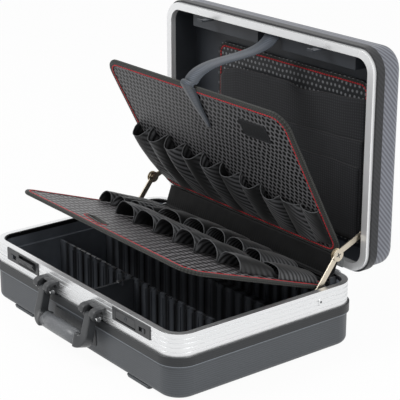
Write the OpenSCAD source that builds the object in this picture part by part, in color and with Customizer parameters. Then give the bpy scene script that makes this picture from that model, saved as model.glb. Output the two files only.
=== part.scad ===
// Hard tool case with an aluminium frame, an open lid and two folding tool boards.
// X runs across the case, Y from the latches (-) to the hinge (+), Z up from the floor.
// The case is drawn open: the lid stands upright and the boards are raised.

/* [Case] */
// Width across the aluminium frame
case_w = 474; // [420:1:520]
// Depth across the aluminium frame
case_d = 326; // [300:1:360]
// Outer corner radius of the frame, in plan
corner_r = 32; // [26:1:40]
// Height of the closing face of the base above the floor
rim_z = 98.8; // [96:0.1:106]
// Height of the lid above its closing face
lid_h = 57.5; // [56:0.1:66]
// Gap left between the two closing faces when shut
rim_gap = 0.3; // [0.2:0.1:0.6]

/* [Shells] */
// Wall of the moulded shells
shell_wall = 3.2; // [2.6:0.1:4]
// How far the shell's lip stands out past the frame
lip_out = 3; // [2:0.1:4]
// Height of the lip
lip_h = 13.7; // [10:0.1:16]
// Rounding of the base shell's bottom edge
base_edge_r = 9; // [6:0.5:12]
// Rounding of the lid shell's top edge
lid_edge_r = 13; // [8:0.5:16]

/* [Aluminium frames] */
// Height of the base frame's outer band
base_band_h = 32.8; // [28:0.1:36]
// Width of the base frame's closing face
base_rim_w = 9; // [8.5:0.1:9.4]
// Height of the lid frame's outer band
lid_band_h = 6; // [5:0.1:8]
// Width of the lid frame's closing face
lid_rim_w = 11.5; // [11:0.1:12]
// Thickness of the frame's leaves
leaf_t = 1.8; // [1.4:0.1:2.2]
// Height of the base frame's inner leaf
base_leaf_h = 14; // [10:0.5:18]
// Height of the lid frame's inner leaf
lid_leaf_h = 9; // [6:0.5:12]
// Number of grooves round the base band
groove_n = 4; // [2:1:5]
// Depth of a groove
groove_depth = 0.6; // [0.3:0.1:1]
// Height of a groove
groove_h = 1.2; // [0.8:0.1:1.6]

/* [Feet] */
// Height of a foot
foot_h = 4; // [3:0.1:6]
// Length of a foot
foot_l = 46; // [30:1:60]
// Width of a foot
foot_w = 14; // [10:1:20]
// Distance of a foot from the case's end
foot_end = 87; // [60:1:110]
// Distance of a foot from the case's front or back
foot_side = 12; // [10:0.5:20]

/* [Liner and dividers] */
// Wall of the liners
liner_t = 1.6; // [1.2:0.1:2]
// Height of the ledge's top above the floor
ledge_z = 75.8; // [70:0.1:76]
// Width of the ledge
ledge_w = 6; // [4:0.5:8]
// Thickness of a divider
divider_t = 4; // [3:0.1:6]
// Height of the dividers' tops above the floor
divider_z = 72; // [60:0.5:73]
// Place of the front long divider
front_divider_y = -47; // [-70:1:-30]
// Place of the rear long divider
rear_divider_y = 40; // [10:1:60]
// Place of the cross divider
cross_divider_x = -18; // [-60:1:60]
// Spacing of the upright ribs on dividers and walls
rib_pitch = 14; // [10:1:20]
// How far a rib stands out
rib_out = 1.2; // [0.6:0.1:1.8]
// Width of a rib
rib_w = 2.4; // [1.6:0.1:3]
// Depth of the notches along a long divider's top
notch_depth = 3; // [1:0.5:5]
// Width of a divider clip
clip_w = 8; // [5:0.5:12]
// Distance of the divider clips from the cross divider's ends
clip_end = 22; // [10:1:30]

/* [Catch housings] */
// Distance of a catch housing's outer end from the frame's side
housing_end = 51; // [40:1:60]
// Depth of a catch housing
housing_d = 24; // [18:0.5:28]
// Distance of a catch housing from the case's middle
housing_from = 26; // [24:0.5:50]
// Distance of a catch housing above the lid frame
housing_up = 6; // [3:0.5:12]

/* [Lid hinge] */
// Distance of the hinge axis behind the frame
hinge_back = 8; // [7.5:0.1:10]
// Distance of the hinge axis below the closing face
hinge_drop = 6.4; // [6:0.1:8]
// Radius of the hinge pin
hinge_pin_r = 2; // [1.5:0.1:2.5]
// Radius of a hinge knuckle
knuckle_r = 4; // [3.5:0.1:4.2]
// Distance of the hinge's ends from the frame's sides
hinge_end = 47; // [47:1:80]
// Number of knuckles
knuckle_n = 7; // [5:2:11]
// Thickness of the hinge's leaves
hinge_leaf_t = 1.6; // [1.2:0.1:2]
// Height of the base leaf
hinge_leaf_h = 22; // [16:0.5:24]
// Radius of a rivet
rivet_r = 2; // [1.5:0.1:2.5]
// Number of rivets in the base leaf
rivet_n = 4; // [3:1:6]
// Height of the rivets above the base leaf's lower edge
rivet_up = 6; // [4:0.5:10]

/* [Lid stays] */
// Distance of the stay's base pivot in front of the hinge axis
stay_pivot_fore = 78.3; // [75:0.1:82]
// Distance of that pivot below the closing face
stay_pivot_drop = 15.6; // [14:0.1:17]
// Distance of the elbow behind the base pivot
elbow_back = 43.3; // [40:0.1:46]
// Height of the elbow above the base pivot
elbow_up = 55.8; // [52:0.1:58]
// Length of the upper arm between its pins
upper_arm_l = 52; // [50:0.1:54]
// Slope of the upper arm with the lid open
upper_arm_slope = 22; // [20:0.1:24]
// Width of the stay's arms
arm_w = 10; // [7:0.5:12]
// Thickness of the stay's arms
arm_t = 1.8; // [1.4:0.1:2]
// Radius of the pivot pins
stay_pin_r = 2.5; // [2:0.1:3]
// Radius of the elbow's disc
elbow_disc_r = 6.5; // [5:0.1:7]
// Thickness of the elbow's disc
elbow_disc_t = 1.8; // [1:0.1:1.9]
// Thickness of the lid's track plate
track_t = 2; // [1.5:0.1:2]
// Width of the track plate round its slot
track_rim = 3.5; // [2.5:0.1:4.5]

/* [Tool boards] */
// Gap between the upper board and the stays on each side
upper_gap = 6.5; // [5:0.1:16]
// Gap between the upper board's edge and the catch housings, when shut
upper_fore = 14; // [10:0.5:30]
// Gap between the lower board and the stays on each side
lower_gap = 3.3; // [2.5:0.1:16]
// Gap between the lower board's edge and the front wall, when shut
lower_fore = 12.7; // [10:0.1:30]
// Corner radius of the boards
board_r = 30; // [20:1:40]
// Thickness of a board's core with its skins
board_t = 4; // [3:0.1:4.4]
// Thickness of the edge binding
binding_t = 5.6; // [5:0.1:6]
// Width of the edge binding
binding_w = 6; // [4:0.5:8]
// Slope of the raised upper board
upper_slope = 62.7; // [60:0.1:65]
// Slope of the raised lower board
lower_slope = 19.1; // [17:0.1:20]
// Distance of the board rods in front of the liner's back wall
rod_front = 5.7; // [5.5:0.1:6]
// Height of the lower board's rod above the ledge
lower_rod_up = 4.2; // [4:0.1:5]
// Height of the upper rod above the lower rod
rod_spacing = 11; // [10:0.1:12]
// Radius of the rods
rod_r = 2; // [1.5:0.1:2.2]
// Wall of the hem that turns on a rod
hem_t = 1.3; // [1:0.1:1.5]
// Distance of the rods' ears inside the stays
rod_gap = 17.3; // [15:0.1:30]
// Length of the strip that carries the upper board
strip_l = 37.5; // [34:0.1:39]
// Thickness of the hinge strips
strip_t = 2; // [1.5:0.1:2.4]
// Length of the carrying slot in the lower board
slot_l = 52; // [40:1:70]
// Width of the carrying slot
slot_w = 12; // [8:0.5:16]
// Distance of the slot's middle from the board's front edge
slot_edge = 38; // [30:1:50]
// Turn of the slot in the board's plane
slot_turn = 12; // [0:1:15]
// Middle of the carrying slot, from the case's middle
slot_x = -48; // [-80:1:0]

/* [Tool loops] */
// Number of loops on the upper board
upper_loop_n = 10; // [6:1:12]
// Number of loops in the lower board's front row
front_loop_n = 6; // [4:1:8]
// Number of loops in the lower board's rear row
rear_loop_n = 8; // [5:1:9]
// Height of the upper loops
upper_loop_h = 18; // [12:0.5:18]
// Height of the last two, flat upper loops
flat_loop_h = 8; // [7:0.5:12]
// Height of the front loops
front_loop_h = 20; // [12:0.5:22]
// Height of the rear loops
rear_loop_h = 23; // [12:0.5:23]
// Distance of the upper loops' mouths from the fold
upper_mouth_from = 118; // [100:1:140]
// Distance of the flat loops' mouths from the fold
flat_mouth_from = 86; // [60:1:100]
// Distance of the upper loops' lower ends from the fold
upper_foot = 10; // [9:0.5:20]
// Spacing of the front loops
front_pitch = 50; // [40:1:52]
// Distance of the last front loop's middle from the board's side
front_loop_side = 54; // [40:1:60]
// Distance of the front loops' lower ends from the lower rod
front_loop_from = 104; // [102:1:120]
// Length of the front loops
front_loop_l = 62; // [40:1:80]
// Distance of the rear loops' lower ends from the lower rod
rear_loop_from = 22; // [16:1:30]
// Length of the rear loops
rear_loop_l = 78; // [50:1:78]
// Height of the loops at their feet
loop_foot_h = 6; // [4:0.5:7]
// Share of a loop's height that its round top takes
loop_round = 0.6; // [0.5:0.05:0.7]
// Thickness of the loops' vinyl
loop_t = 1.4; // [1:0.1:1.8]
// Gap between neighbouring loops
loop_gap = 3; // [2:0.5:5]
// Space between the outer loops and the binding
loop_side = 2; // [1:0.5:4]

/* [Document board] */
// Gap between the document board and the lid's left wall
doc_left = 65; // [30:1:80]
// Gap between the document board and the lid's right wall
doc_right = 41; // [30:1:80]
// Distance of its upper edge from the case's front
doc_front = 59; // [54:1:70]
// Gap between its lower edge and the lid's back wall
doc_back = 7.5; // [6:0.5:20]
// Thickness of the document board
doc_t = 4.6; // [3:0.1:5]
// Thickness of the pocket sheets
pocket_t = 1.2; // [0.8:0.1:1.6]
// Depth of the space in the large pocket
pocket_space = 4.8; // [4.2:0.1:5.5]
// Step between the mouths of the three pockets
pocket_step = 52; // [30:1:60]

/* [Strap] */
// Width of the restraint strap
strap_w = 28; // [20:1:34]
// Thickness of the strap
strap_t = 1.6; // [1:0.1:2]
// Middle of the strap, from the case's middle
strap_x = 4; // [-8:1:8]
// Length of the strap on the upper board's face
strap_hang = 74; // [50:1:90]
// How far the strap's curve pulls back and up as it leaves the board
strap_bulge = [26, 42];
// How far the strap's curve pulls forward and down before the lid's wall
strap_drop = [-17, -42];

/* [Latches] */
// Distance of a latch's middle from the frame's side
latch_end = 96; // [90:1:100]
// Width of a latch plate
latch_w = 88; // [80:1:96]
// Height of a latch plate
latch_h = 19; // [17:0.1:20]
// How far a latch plate stands out of the band
latch_out = 1.2; // [0.8:0.1:2]
// Width of the hasp
hasp_w = 46; // [40:1:50]
// Height of the hasp
hasp_h = 13.6; // [12:0.1:14]
// Thickness of the hasp
hasp_t = 3; // [2:0.1:3.2]
// Angle by which a released hasp stands out
hasp_open = 32; // [20:1:40]
// Radius of the hasp's pin
hasp_pin_r = 1; // [0.8:0.1:1.2]
// Radius of the lock plug
plug_r = 3.6; // [3:0.1:4]
// Distance of the slider's middle from the plate's outer end
slider_from = 14; // [12:0.5:16]
// Travel of the latch slider
slider_travel = 8; // [6:0.5:9]
// Width of the slider's button
button_w = 6; // [5:0.5:8]
// Distance of a lid catch from its latch's middle, towards the handle
catch_from = 14; // [10:0.5:18]

/* [Handle] */
// Distance of a handle bracket from the case's middle
bracket_x = 60; // [54:1:66]
// Width of a bracket
bracket_w = 38; // [34:1:44]
// How far a bracket stands out
bracket_out = 21; // [20:0.5:24]
// Thickness of a bracket's back
bracket_back = 3; // [2:0.1:4]
// Depth of the bridge over a bracket's slot
bridge_d = 9; // [6:0.5:10]
// Height of a bracket
bracket_h = 21; // [18:0.5:24]
// Height of a bracket's foot above the band's lower edge
bracket_up = 0.5; // [0:0.1:3]
// Radius of the handle's pins
handle_pin_r = 2.5; // [2:0.1:3]
// Distance of the handle's pins in front of the band
handle_pin_out = 12; // [11:0.1:13]
// Height of the handle's pins above the bracket's foot
handle_pin_up = 7; // [6.5:0.1:9]
// Width of a handle arm
handle_arm_w = 14; // [12:0.5:16]
// Depth of a handle arm
handle_arm_d = 11; // [9:0.5:12]
// Distance of the grip's axis from the pins
handle_arm_l = 41; // [36:0.5:44]
// Radius of the grip
grip_r = 12; // [10:0.1:13]
// Radius of the bar inside the grip
grip_bar_r = 5; // [4:0.1:7]
// Angle by which the hanging handle stands off the case
handle_lean = 14; // [10:1:20]

/* [Hidden] */
$fn = 64;
FIT = 0.05;      // radial clearance of pins that turn
AIR = 0.3;       // gap between pieces that only lie close
half_w = case_w / 2;
half_d = case_d / 2;
band_z = rim_z - base_band_h;                // lower edge of the base band
lid_z = rim_z + rim_gap;                     // closing face of the lid, shut
lid_top = rim_z + lid_h;
lid_lip_z = lid_z + lid_band_h;              // where the lid shell's lip starts
hinge_y = half_d + hinge_back;
hinge_l = case_w - 2 * hinge_end;
hinge_z = rim_z - hinge_drop;
tongue_gap = 0.2;                            // shell tongue to frame leaf
liner_x = base_rim_w + tongue_gap;           // liner's outer face, from the case's outside
ledge_in = liner_x + liner_t + ledge_w;      // inner edge of the ledge
floor_in = foot_h + shell_wall;              // top of the shell's floor
tray_z = floor_in + 1;                       // underside of the liner's floor
tray_floor = tray_z + liner_t;
lid_in_z = lid_top - shell_wall;             // underside of the lid shell's roof
lid_liner_x = lid_rim_w - liner_t;           // lid liner's outer face, from the case's outside
lid_arc_r = lid_edge_r - shell_wall - AIR;   // room inside the lid's rounded edge
lid_arc_z = lid_top - lid_edge_r + sqrt(pow(lid_arc_r, 2) - pow(max(0, lid_edge_r - lid_liner_x), 2));
lid_ceiling = min(lid_arc_z, lid_in_z - tongue_gap) - liner_t;
rib_reach = rib_pitch * floor((half_w - corner_r - ledge_in) / rib_pitch);
cross_from = -half_d + ledge_in + rib_out + AIR;
cross_to = front_divider_y - divider_t / 2 - rib_out - AIR;
clip_t = 1.2;
knuckle_l = hinge_l / knuckle_n;
knuckle_gap = 0.15;                          // at each end of a knuckle
rim_t = 2;                                   // thickness of the closing faces

// stay places, on the YZ plane
stay_y = hinge_y - stay_pivot_fore;
stay_z = rim_z - stay_pivot_drop;
elbow_y = stay_y + elbow_back;
elbow_z = stay_z + elbow_up;
lid_turn = 90;                               // the lid's full travel
lower_turn = 1.2;                            // the lower arm's turn for each degree of lid
upper_turn = -0.21;                          // the upper arm's turn for each degree of lid
arm_in = half_w - lid_rim_w - elbow_disc_t - 2 * arm_t - 2 * AIR - 0.2;  // inner face of the arms
upper_arm_x = arm_in;
arm_waist = 0.7;                             // arms are this much narrower than their eyes, each side
lower_arm_x = arm_in + arm_t + AIR;
track_x = half_w - lid_rim_w - track_t;
slide_pin_r = 2.2;
slot_half = slide_pin_r + AIR + 0.1;
pin_head = 1;                                // height of the stay pins' heads
pin_head_r = 4.5;

// board places
inset = 1.2;                                 // board's edge inside its binding
ear_t = 2;                                   // ears that hold the rods
ear_reach = 5;                               // how far the ears reach past the rods
rail_t = 1.8;                                // thickness of the rail behind the rods
rail_from = ledge_z + 0.7;                   // lower edge of the rail
rod_y = half_d - liner_x - liner_t - rod_front;
rod_l = 2 * (arm_in - rod_gap);
upper_w = 2 * (arm_in - upper_gap);
upper_l = rod_y + half_d - lid_rim_w - housing_d - upper_fore;
lower_w = 2 * (arm_in - lower_gap);
lower_l = rod_y + half_d - liner_x - liner_t - lower_fore;
lower_rod_z = ledge_z + lower_rod_up;
upper_rod_z = lower_rod_z + rod_spacing;
hem_r = rod_r + FIT + hem_t;
strip_lean = 70.4;                           // slope of the raised upper strip
fold_y = rod_y + strip_l * cos(strip_lean);
fold_z = upper_rod_z + strip_l * sin(strip_lean);
fold_r = strip_t / 2 + 0.2;                  // round bead of the strip at the fold
panel_start = fold_r + AIR;                  // where the upper board starts after the fold
lower_start = 9;                             // where the lower board starts after its rod

// document board places
doc_w = case_w - 2 * lid_rim_w - doc_left - doc_right;
doc_l = case_d - doc_front - lid_rim_w - doc_back;
doc_x = (doc_left - doc_right) / 2;
doc_y = -half_d + doc_front + doc_l / 2;
doc_top = lid_ceiling - AIR;
pocket_z = doc_top - doc_t - pocket_space - pocket_t;
pocket_side = 4;                             // first pocket's sides inside the board's
pocket_foot = 3;                             // pockets' lower ends inside the board's

// latch places
latch_x = half_w - latch_end;
catch_x = latch_x - catch_from;
latch_z = rim_z - rim_t - latch_h / 2;       // middle of a latch plate
latch_face_y = -half_d - latch_out;
hasp_from = 8;                               // hasp's start from the plate's inner end
hasp_x = latch_x - latch_w / 2 + hasp_from + hasp_w / 2;
hasp_pin_z = latch_z - hasp_h / 2 + 1.6;
hasp_pin_y = -half_d + 1.2;
plug_z = 6.4;                                // plug above the hasp's pin
slider_x = latch_x + latch_w / 2 - slider_from;
slider_z = latch_z - 1;
case_depth = 4.6;                            // latch case behind the plate
bolt_y = -half_d + liner_x + liner_t + 0.4;  // outer face of the sliding bolt
bolt_t = 1.6;
bolt_h = 6;
catch_w = 12;
catch_t = 2;
catch_plate_y = bolt_y + bolt_t + 0.4;
catch_nose_z = slider_z - bolt_h / 2 - 0.6;

// handle places
bracket_z = band_z + bracket_up;
handle_pin_y = -half_d - handle_pin_out;
handle_pin_z = bracket_z + handle_pin_up;
cheek_gap = handle_arm_w + 2 * AIR + 0.4;

// ---------- shared shapes ----------

// Sweeps a section round a rectangle with round corners; the section's x is measured inwards.
module ring(w, d, r) {
    for (q = [0 : 3]) {
        along_x = q % 2 == 0;
        sx = q == 0 || q == 3 ? 1 : -1;
        sy = q < 2 ? 1 : -1;
        translate([sx * (w / 2 - r), sy * (d / 2 - r), 0])
            rotate(90 * q)
                rotate_extrude(angle = 90)
                    translate([r, 0]) mirror([1, 0]) children();
        rotate(90 * q)
            translate([(along_x ? w : d) / 2 - r, 0, 0])
                rotate([90, 0, 0])
                    linear_extrude((along_x ? d : w) - 2 * r, center = true)
                        translate([r, 0]) mirror([1, 0]) children();
    }
}

// A rectangle with round corners, middle at the origin.
module round_rect(w, d, r) {
    square([w - 2 * r, d], center = true);
    square([w, d - 2 * r], center = true);
    for (sx = [-1, 1]) for (sy = [-1, 1])
        translate([sx * (w / 2 - r), sy * (d / 2 - r)]) circle(r);
}

// A plate with round corners on z = 0.
module round_plate(w, d, r, t) {
    linear_extrude(t) round_rect(w, d, r);
}

// A flat bar with round eyes between two points on the YZ plane, from x0 to x0 + t.
// The bar is narrower than its eyes by waist on each side.
module link(a, b, r, x0, t, waist = 0.1) {
    span = norm(b - a);
    slope = atan2(b[1] - a[1], b[0] - a[0]);
    for (p = [a, b]) pin_x(p, r, x0, t);
    translate([x0, a[0], a[1]]) rotate([slope, 0, 0])
        translate([0, 0, waist - r]) cube([t, span, 2 * (r - waist)]);
}

// A cylinder along X at a point of the YZ plane, from x0 to x0 + t.
module pin_x(p, r, x0, t) {
    translate([x0, p[0], p[1]]) rotate([0, 90, 0]) cylinder(r = r, h = t);
}

// A cylinder along Y.
module pin_y(x, z, r, y0, t) {
    translate([x, y0, z]) rotate([-90, 0, 0]) cylinder(r = r, h = t);
}

// A box from its low corner to its high corner.
module box(a, b) {
    translate(a) cube(b - a);
}

// Puts what is drawn with the lid shut into the lid's open place.
module open_lid() {
    translate([0, hinge_y, hinge_z]) rotate([-lid_turn, 0, 0])
        translate([0, -hinge_y, -hinge_z]) children();
}

// Puts a board drawn flat behind its axis, reaching towards -Y, into its raised place.
module raised(y, z, slope) {
    translate([0, y, z]) rotate([-slope, 0, 0]) children();
}

// ---------- base ----------

// The wall's section from the outside inwards: body, lip and the tongue inside the frame.
module base_wall() {
    translate([0, foot_h + base_edge_r]) square([shell_wall, band_z - foot_h - base_edge_r]);
    translate([-lip_out, band_z - lip_h]) square([lip_out, lip_h]);
    translate([leaf_t + tongue_gap, band_z - 4]) square([shell_wall, rim_z - rim_t - 2 - band_z + 4]);
    intersection() {
        translate([base_edge_r, foot_h + base_edge_r]) difference() {
            circle(base_edge_r);
            circle(base_edge_r - shell_wall);
        }
        translate([0, foot_h]) square(base_edge_r);
    }
}

module base_shell() color("#2b2c2e") difference() {
    union() {
        ring(case_w, case_d, corner_r) base_wall();
        translate([0, 0, foot_h])
            round_plate(case_w - 2 * base_edge_r, case_d - 2 * base_edge_r,
                        corner_r - base_edge_r, shell_wall);
    }
    for (s = [-1, 1]) {
        latch_window(s, 1);
        stay_hole(s);
    }
}

// Room for the latch case through the frame's band and the shell's tongue.
module latch_window(s, air) {
    translate([s * latch_x, -half_d, latch_z])
        cube([latch_w - 6 + 2 * air, 4 * (shell_wall + leaf_t), latch_h - 4 + 2 * air], center = true);
}

// Hole for a stay's base pin through the side.
module stay_hole(s) {
    pin_x([stay_y, stay_z], stay_pin_r + FIT,
          s > 0 ? half_w - 2 * ledge_in : -half_w - lip_out - 1, 2 * ledge_in + lip_out + 1);
}

module base_feet() color("#1b1b1c") for (sx = [-1, 1]) for (sy = [-1, 1])
    translate([sx * (half_w - foot_end), sy * (half_d - base_edge_r - foot_side), 0])
        round_plate(foot_l, foot_w, foot_w / 2 - 1, foot_h);

// Closing face, outer band with grooves, and inner leaf.
module base_frame_section() difference() {
    union() {
        translate([0, band_z]) square([leaf_t, base_band_h]);
        translate([0, rim_z - rim_t]) square([base_rim_w, rim_t]);
        translate([base_rim_w - leaf_t, rim_z - base_leaf_h]) square([leaf_t, base_leaf_h]);
    }
    for (i = [1 : groove_n])
        translate([0, band_z + i * base_band_h / (groove_n + 1) - groove_h / 2])
            square([groove_depth, groove_h]);
}

module base_frame() color("#c9cbcd") difference() {
    ring(case_w, case_d, corner_r) base_frame_section();
    for (s = [-1, 1]) {
        translate([s * latch_x, -half_d, latch_z])
            cube([latch_w + 2 * FIT, 2 * leaf_t + 1, latch_h + 2 * FIT], center = true);
        stay_hole(s);
        slider_slot(s);
    }
}

// Slot through the frame's inner leaf and the liner for the slider's stem.
module slider_slot(s) {
    translate([s * (slider_x - slider_travel / 2), -half_d + liner_x, slider_z])
        cube([slider_travel + button_w + 2 * AIR, 4 * leaf_t, bolt_h + 2 * AIR], center = true);
}

module base_liner() color("#1d1e20") difference() {
    union() {
        ring(case_w - 2 * liner_x, case_d - 2 * liner_x, corner_r - liner_x) {
            translate([0, ledge_z - liner_t]) square([liner_t, rim_z - 1 - ledge_z + liner_t]);
            translate([0, ledge_z - liner_t]) square([ledge_w + liner_t, liner_t]);
            translate([ledge_w, tray_z]) square([liner_t, ledge_z - tray_z]);
        }
        translate([0, 0, tray_z])
            round_plate(case_w - 2 * ledge_in + 2 * liner_t, case_d - 2 * ledge_in + 2 * liner_t,
                        corner_r - ledge_in + liner_t, liner_t);
        wall_ribs();
    }
    for (s = [-1, 1]) {
        stay_hole(s);
        slider_slot(s);
    }
}

// Upright ribs on the liner's front and back walls; dividers slot between them.
module wall_ribs() for (s = [-1, 1])
    for (x = [-rib_reach : rib_pitch : rib_reach])
        translate([x - rib_w / 2, s * (half_d - ledge_in) - (s > 0 ? rib_out : 0), tray_floor])
            cube([rib_w, rib_out, ledge_z - liner_t - tray_floor]);

// A long divider with ribs on both faces and notches along its top.
module long_divider(y) difference() {
    reach = half_w - ledge_in - AIR;
    union() {
        box([-reach, y - divider_t / 2, tray_floor], [reach, y + divider_t / 2, divider_z]);
        for (s = [-1, 1]) for (x = [-rib_reach : rib_pitch : rib_reach])
            translate([x - rib_w / 2, y + s * divider_t / 2 - (s < 0 ? rib_out : 0), tray_floor])
                cube([rib_w, rib_out, divider_z - 2 * notch_depth - tray_floor]);
    }
    for (x = [-rib_reach + rib_pitch / 2 : rib_pitch : rib_reach])
        translate([x, y, divider_z])
            cube([rib_w, 2 * divider_t, 2 * notch_depth], center = true);
}

module front_divider() color("#2e3033") long_divider(front_divider_y);

module rear_divider() color("#2e3033") long_divider(rear_divider_y);

// The short divider between the front wall and the front long divider.
module cross_divider() color("#2a2b2e")
    box([cross_divider_x - divider_t / 2, cross_from, tray_floor],
        [cross_divider_x + divider_t / 2, cross_to, divider_z]);

// Spring clips that sit on the cross divider's top edge.
module divider_clips() color("#b9bbbd") for (y = [cross_from + clip_end, cross_to - clip_end])
    translate([cross_divider_x, y, divider_z - 3]) rotate([90, 0, 0])
        linear_extrude(clip_w, center = true) difference() {
            translate([-divider_t / 2 - clip_t, -3]) square([divider_t + 2 * clip_t, 6 + clip_t + 0.1]);
            translate([-divider_t / 2 - 0.1, -4]) square([divider_t + 0.2, 7.1]);
        }

// ---------- lid hinge ----------
module knuckles(first, gap) {
    for (i = [first : 2 : knuckle_n - 1])
        translate([-hinge_l / 2 + i * knuckle_l + gap, 0, 0]) children();
}

// A leaf's web from its plate to the knuckle, and the knuckle, along X.
module knuckle(web, len) difference() {
    union() {
        rotate([90, 0, 90]) linear_extrude(len) polygon(web);
        pin_x([hinge_y, hinge_z], knuckle_r, 0, len);
    }
    pin_x([hinge_y, hinge_z], hinge_pin_r + FIT, -1, len + 2);
}

module hinge_leaf_base() color("#a9abad") {
    web = [[half_d, hinge_z - 8], [half_d + hinge_leaf_t, hinge_z - 8], [hinge_y, hinge_z - knuckle_r],
           [hinge_y, hinge_z - hinge_pin_r - 1], [half_d + hinge_leaf_t, hinge_z - 4],
           [half_d, hinge_z - 4]];
    difference() {
        box([-hinge_l / 2, half_d, hinge_z - 2 - hinge_leaf_h], [hinge_l / 2, half_d + hinge_leaf_t, hinge_z - 2]);
        hinge_rivet_holes();
    }
    knuckles(0, knuckle_gap) knuckle(web, knuckle_l - 2 * knuckle_gap);
}

function rivet_x(i) = -hinge_l / 2 + (i + 0.5) * hinge_l / rivet_n;
function rivet_z() = hinge_z - 2 - hinge_leaf_h + rivet_up;

module hinge_rivet_holes() for (i = [0 : rivet_n - 1])
    pin_y(rivet_x(i), rivet_z(), rivet_r + FIT, half_d - 1, hinge_leaf_t + 3);

module hinge_leaf_lid() color("#a9abad") open_lid() {
    web = [[half_d, lid_z + 1], [half_d + hinge_leaf_t, lid_z + 1], [hinge_y - 1, hinge_z + hinge_pin_r + 1],
           [hinge_y + 1, hinge_z + knuckle_r - 0.2], [half_d + hinge_leaf_t, lid_z + 4.5], [half_d, lid_z + 4.5]];
    box([-hinge_l / 2, half_d, lid_z + 0.2], [hinge_l / 2, half_d + hinge_leaf_t, lid_lip_z - 0.2]);
    knuckles(1, knuckle_gap) knuckle(web, knuckle_l - 2 * knuckle_gap);
}

module hinge_pin() color("#8f9193") {
    pin_x([hinge_y, hinge_z], hinge_pin_r, -hinge_l / 2 - 1, hinge_l + 2);
    for (s = [-1, 1]) pin_x([hinge_y, hinge_z], hinge_pin_r + 1,
                            s > 0 ? hinge_l / 2 + 0.3 : -hinge_l / 2 - 1.8, 1.5);
}

module hinge_rivets_base() color("#c4c6c8") for (i = [0 : rivet_n - 1]) {
    pin_y(rivet_x(i), rivet_z(), rivet_r, half_d, hinge_leaf_t);
    pin_y(rivet_x(i), rivet_z(), 1.9 * rivet_r, half_d + hinge_leaf_t, 1);
}

// Rivet heads along the lid's leaf, between the knuckle webs.
module hinge_rivets_lid() color("#c4c6c8") open_lid() for (i = [0 : 2 : knuckle_n - 1])
    pin_y(-hinge_l / 2 + (i + 0.5) * knuckle_l, (lid_z + lid_lip_z) / 2, rivet_r,
          half_d + hinge_leaf_t, 1);

// ---------- lid, drawn shut ----------
module lid_wall() {
    translate([0, lid_lip_z]) square([shell_wall, lid_top - lid_edge_r - lid_lip_z]);
    translate([-lip_out, lid_lip_z]) square([lip_out, lip_h]);
    translate([leaf_t + tongue_gap, lid_z + rim_t + 0.4])
        square([shell_wall, lid_lip_z + 4 - lid_z - rim_t]);
    intersection() {
        translate([lid_edge_r, lid_top - lid_edge_r]) difference() {
            circle(lid_edge_r);
            circle(lid_edge_r - shell_wall);
        }
        translate([0, lid_top - lid_edge_r]) square(lid_edge_r);
    }
}

module lid_shell() color("#2b2c2e") open_lid() {
    ring(case_w, case_d, corner_r) lid_wall();
    translate([0, 0, lid_in_z])
        round_plate(case_w - 2 * lid_edge_r, case_d - 2 * lid_edge_r, corner_r - lid_edge_r, shell_wall);
}

module lid_frame() color("#cfd1d3") open_lid()
    ring(case_w, case_d, corner_r) {
        translate([0, lid_z]) square([leaf_t, lid_band_h]);
        translate([0, lid_z]) square([lid_rim_w, rim_t]);
        translate([lid_rim_w - leaf_t, lid_z]) square([leaf_t, lid_leaf_h]);
    }

// The lid's moulded lining with the long catch housing behind its front wall.
module lid_liner() color("#1f2022") open_lid() {
    wall_z = lid_z + lid_leaf_h + tongue_gap;
    ring(case_w - 2 * lid_liner_x, case_d - 2 * lid_liner_x, corner_r - lid_liner_x)
        translate([0, wall_z]) square([liner_t, lid_ceiling + liner_t - wall_z]);
    translate([0, 0, lid_ceiling])
        round_plate(case_w - 2 * lid_liner_x, case_d - 2 * lid_liner_x, corner_r - lid_liner_x, liner_t);
    for (s = [-1, 1]) catch_housing(s);
}

module catch_housing(s) {
    housing_l = half_w - housing_end - housing_from;
    x0 = s > 0 ? housing_from : -housing_from - housing_l;
    y0 = -half_d + lid_rim_w;
    z0 = lid_z + lid_leaf_h + housing_up;
    difference() {
        box([x0, y0, z0], [x0 + housing_l, y0 + housing_d, lid_ceiling]);
        box([x0 + liner_t, y0 - 1, z0 + liner_t],
            [x0 + housing_l - liner_t, y0 + housing_d - liner_t, lid_ceiling]);
    }
}

module document_board() color("#333437") open_lid()
    translate([doc_x, doc_y, doc_top - doc_t]) round_plate(doc_w, doc_l, 18, doc_t);

// Three sheets, each lower than the one behind it; the first stands off on a side gusset.
module document_pockets() color("#3b3c3f") open_lid() {
    difference() {
        pocket_sheet(0, pocket_z, pocket_space + pocket_t);
        pocket_room();
    }
    for (i = [1, 2]) pocket_sheet(i, pocket_z - i * pocket_t, pocket_t);
}

module pocket_sheet(i, z, t) {
    from = doc_y - doc_l / 2 + pocket_step * (i + 1);
    reach = doc_w / 2 - pocket_side - 3 * i;
    box([doc_x - reach, from, z], [doc_x + reach, doc_y + doc_l / 2 - pocket_foot - 2 * i, z + t]);
}

// The room behind the first pocket, open towards the board's upper edge.
module pocket_room() {
    reach = doc_w / 2 - pocket_side - pocket_t;
    box([doc_x - reach, doc_y - doc_l / 2, pocket_z + pocket_t],
        [doc_x + reach, doc_y + doc_l / 2 - pocket_foot - pocket_t, pocket_z + pocket_t + pocket_space + 1]);
}

// Hooked catches that reach down past the sliding bolts.
module lid_catches() color("#d3d5d7") open_lid() for (s = [-1, 1])
    translate([s * catch_x - catch_w / 2, 0, 0]) {
        box([0, catch_plate_y, catch_nose_z - catch_t], [catch_w, catch_plate_y + catch_t, lid_z + lid_leaf_h]);
        box([0, bolt_y, catch_nose_z - catch_t], [catch_w, catch_plate_y, catch_nose_z]);
        box([0, -half_d + lid_rim_w, lid_z + 3], [catch_w, catch_plate_y, lid_z + lid_leaf_h]);
    }

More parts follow.
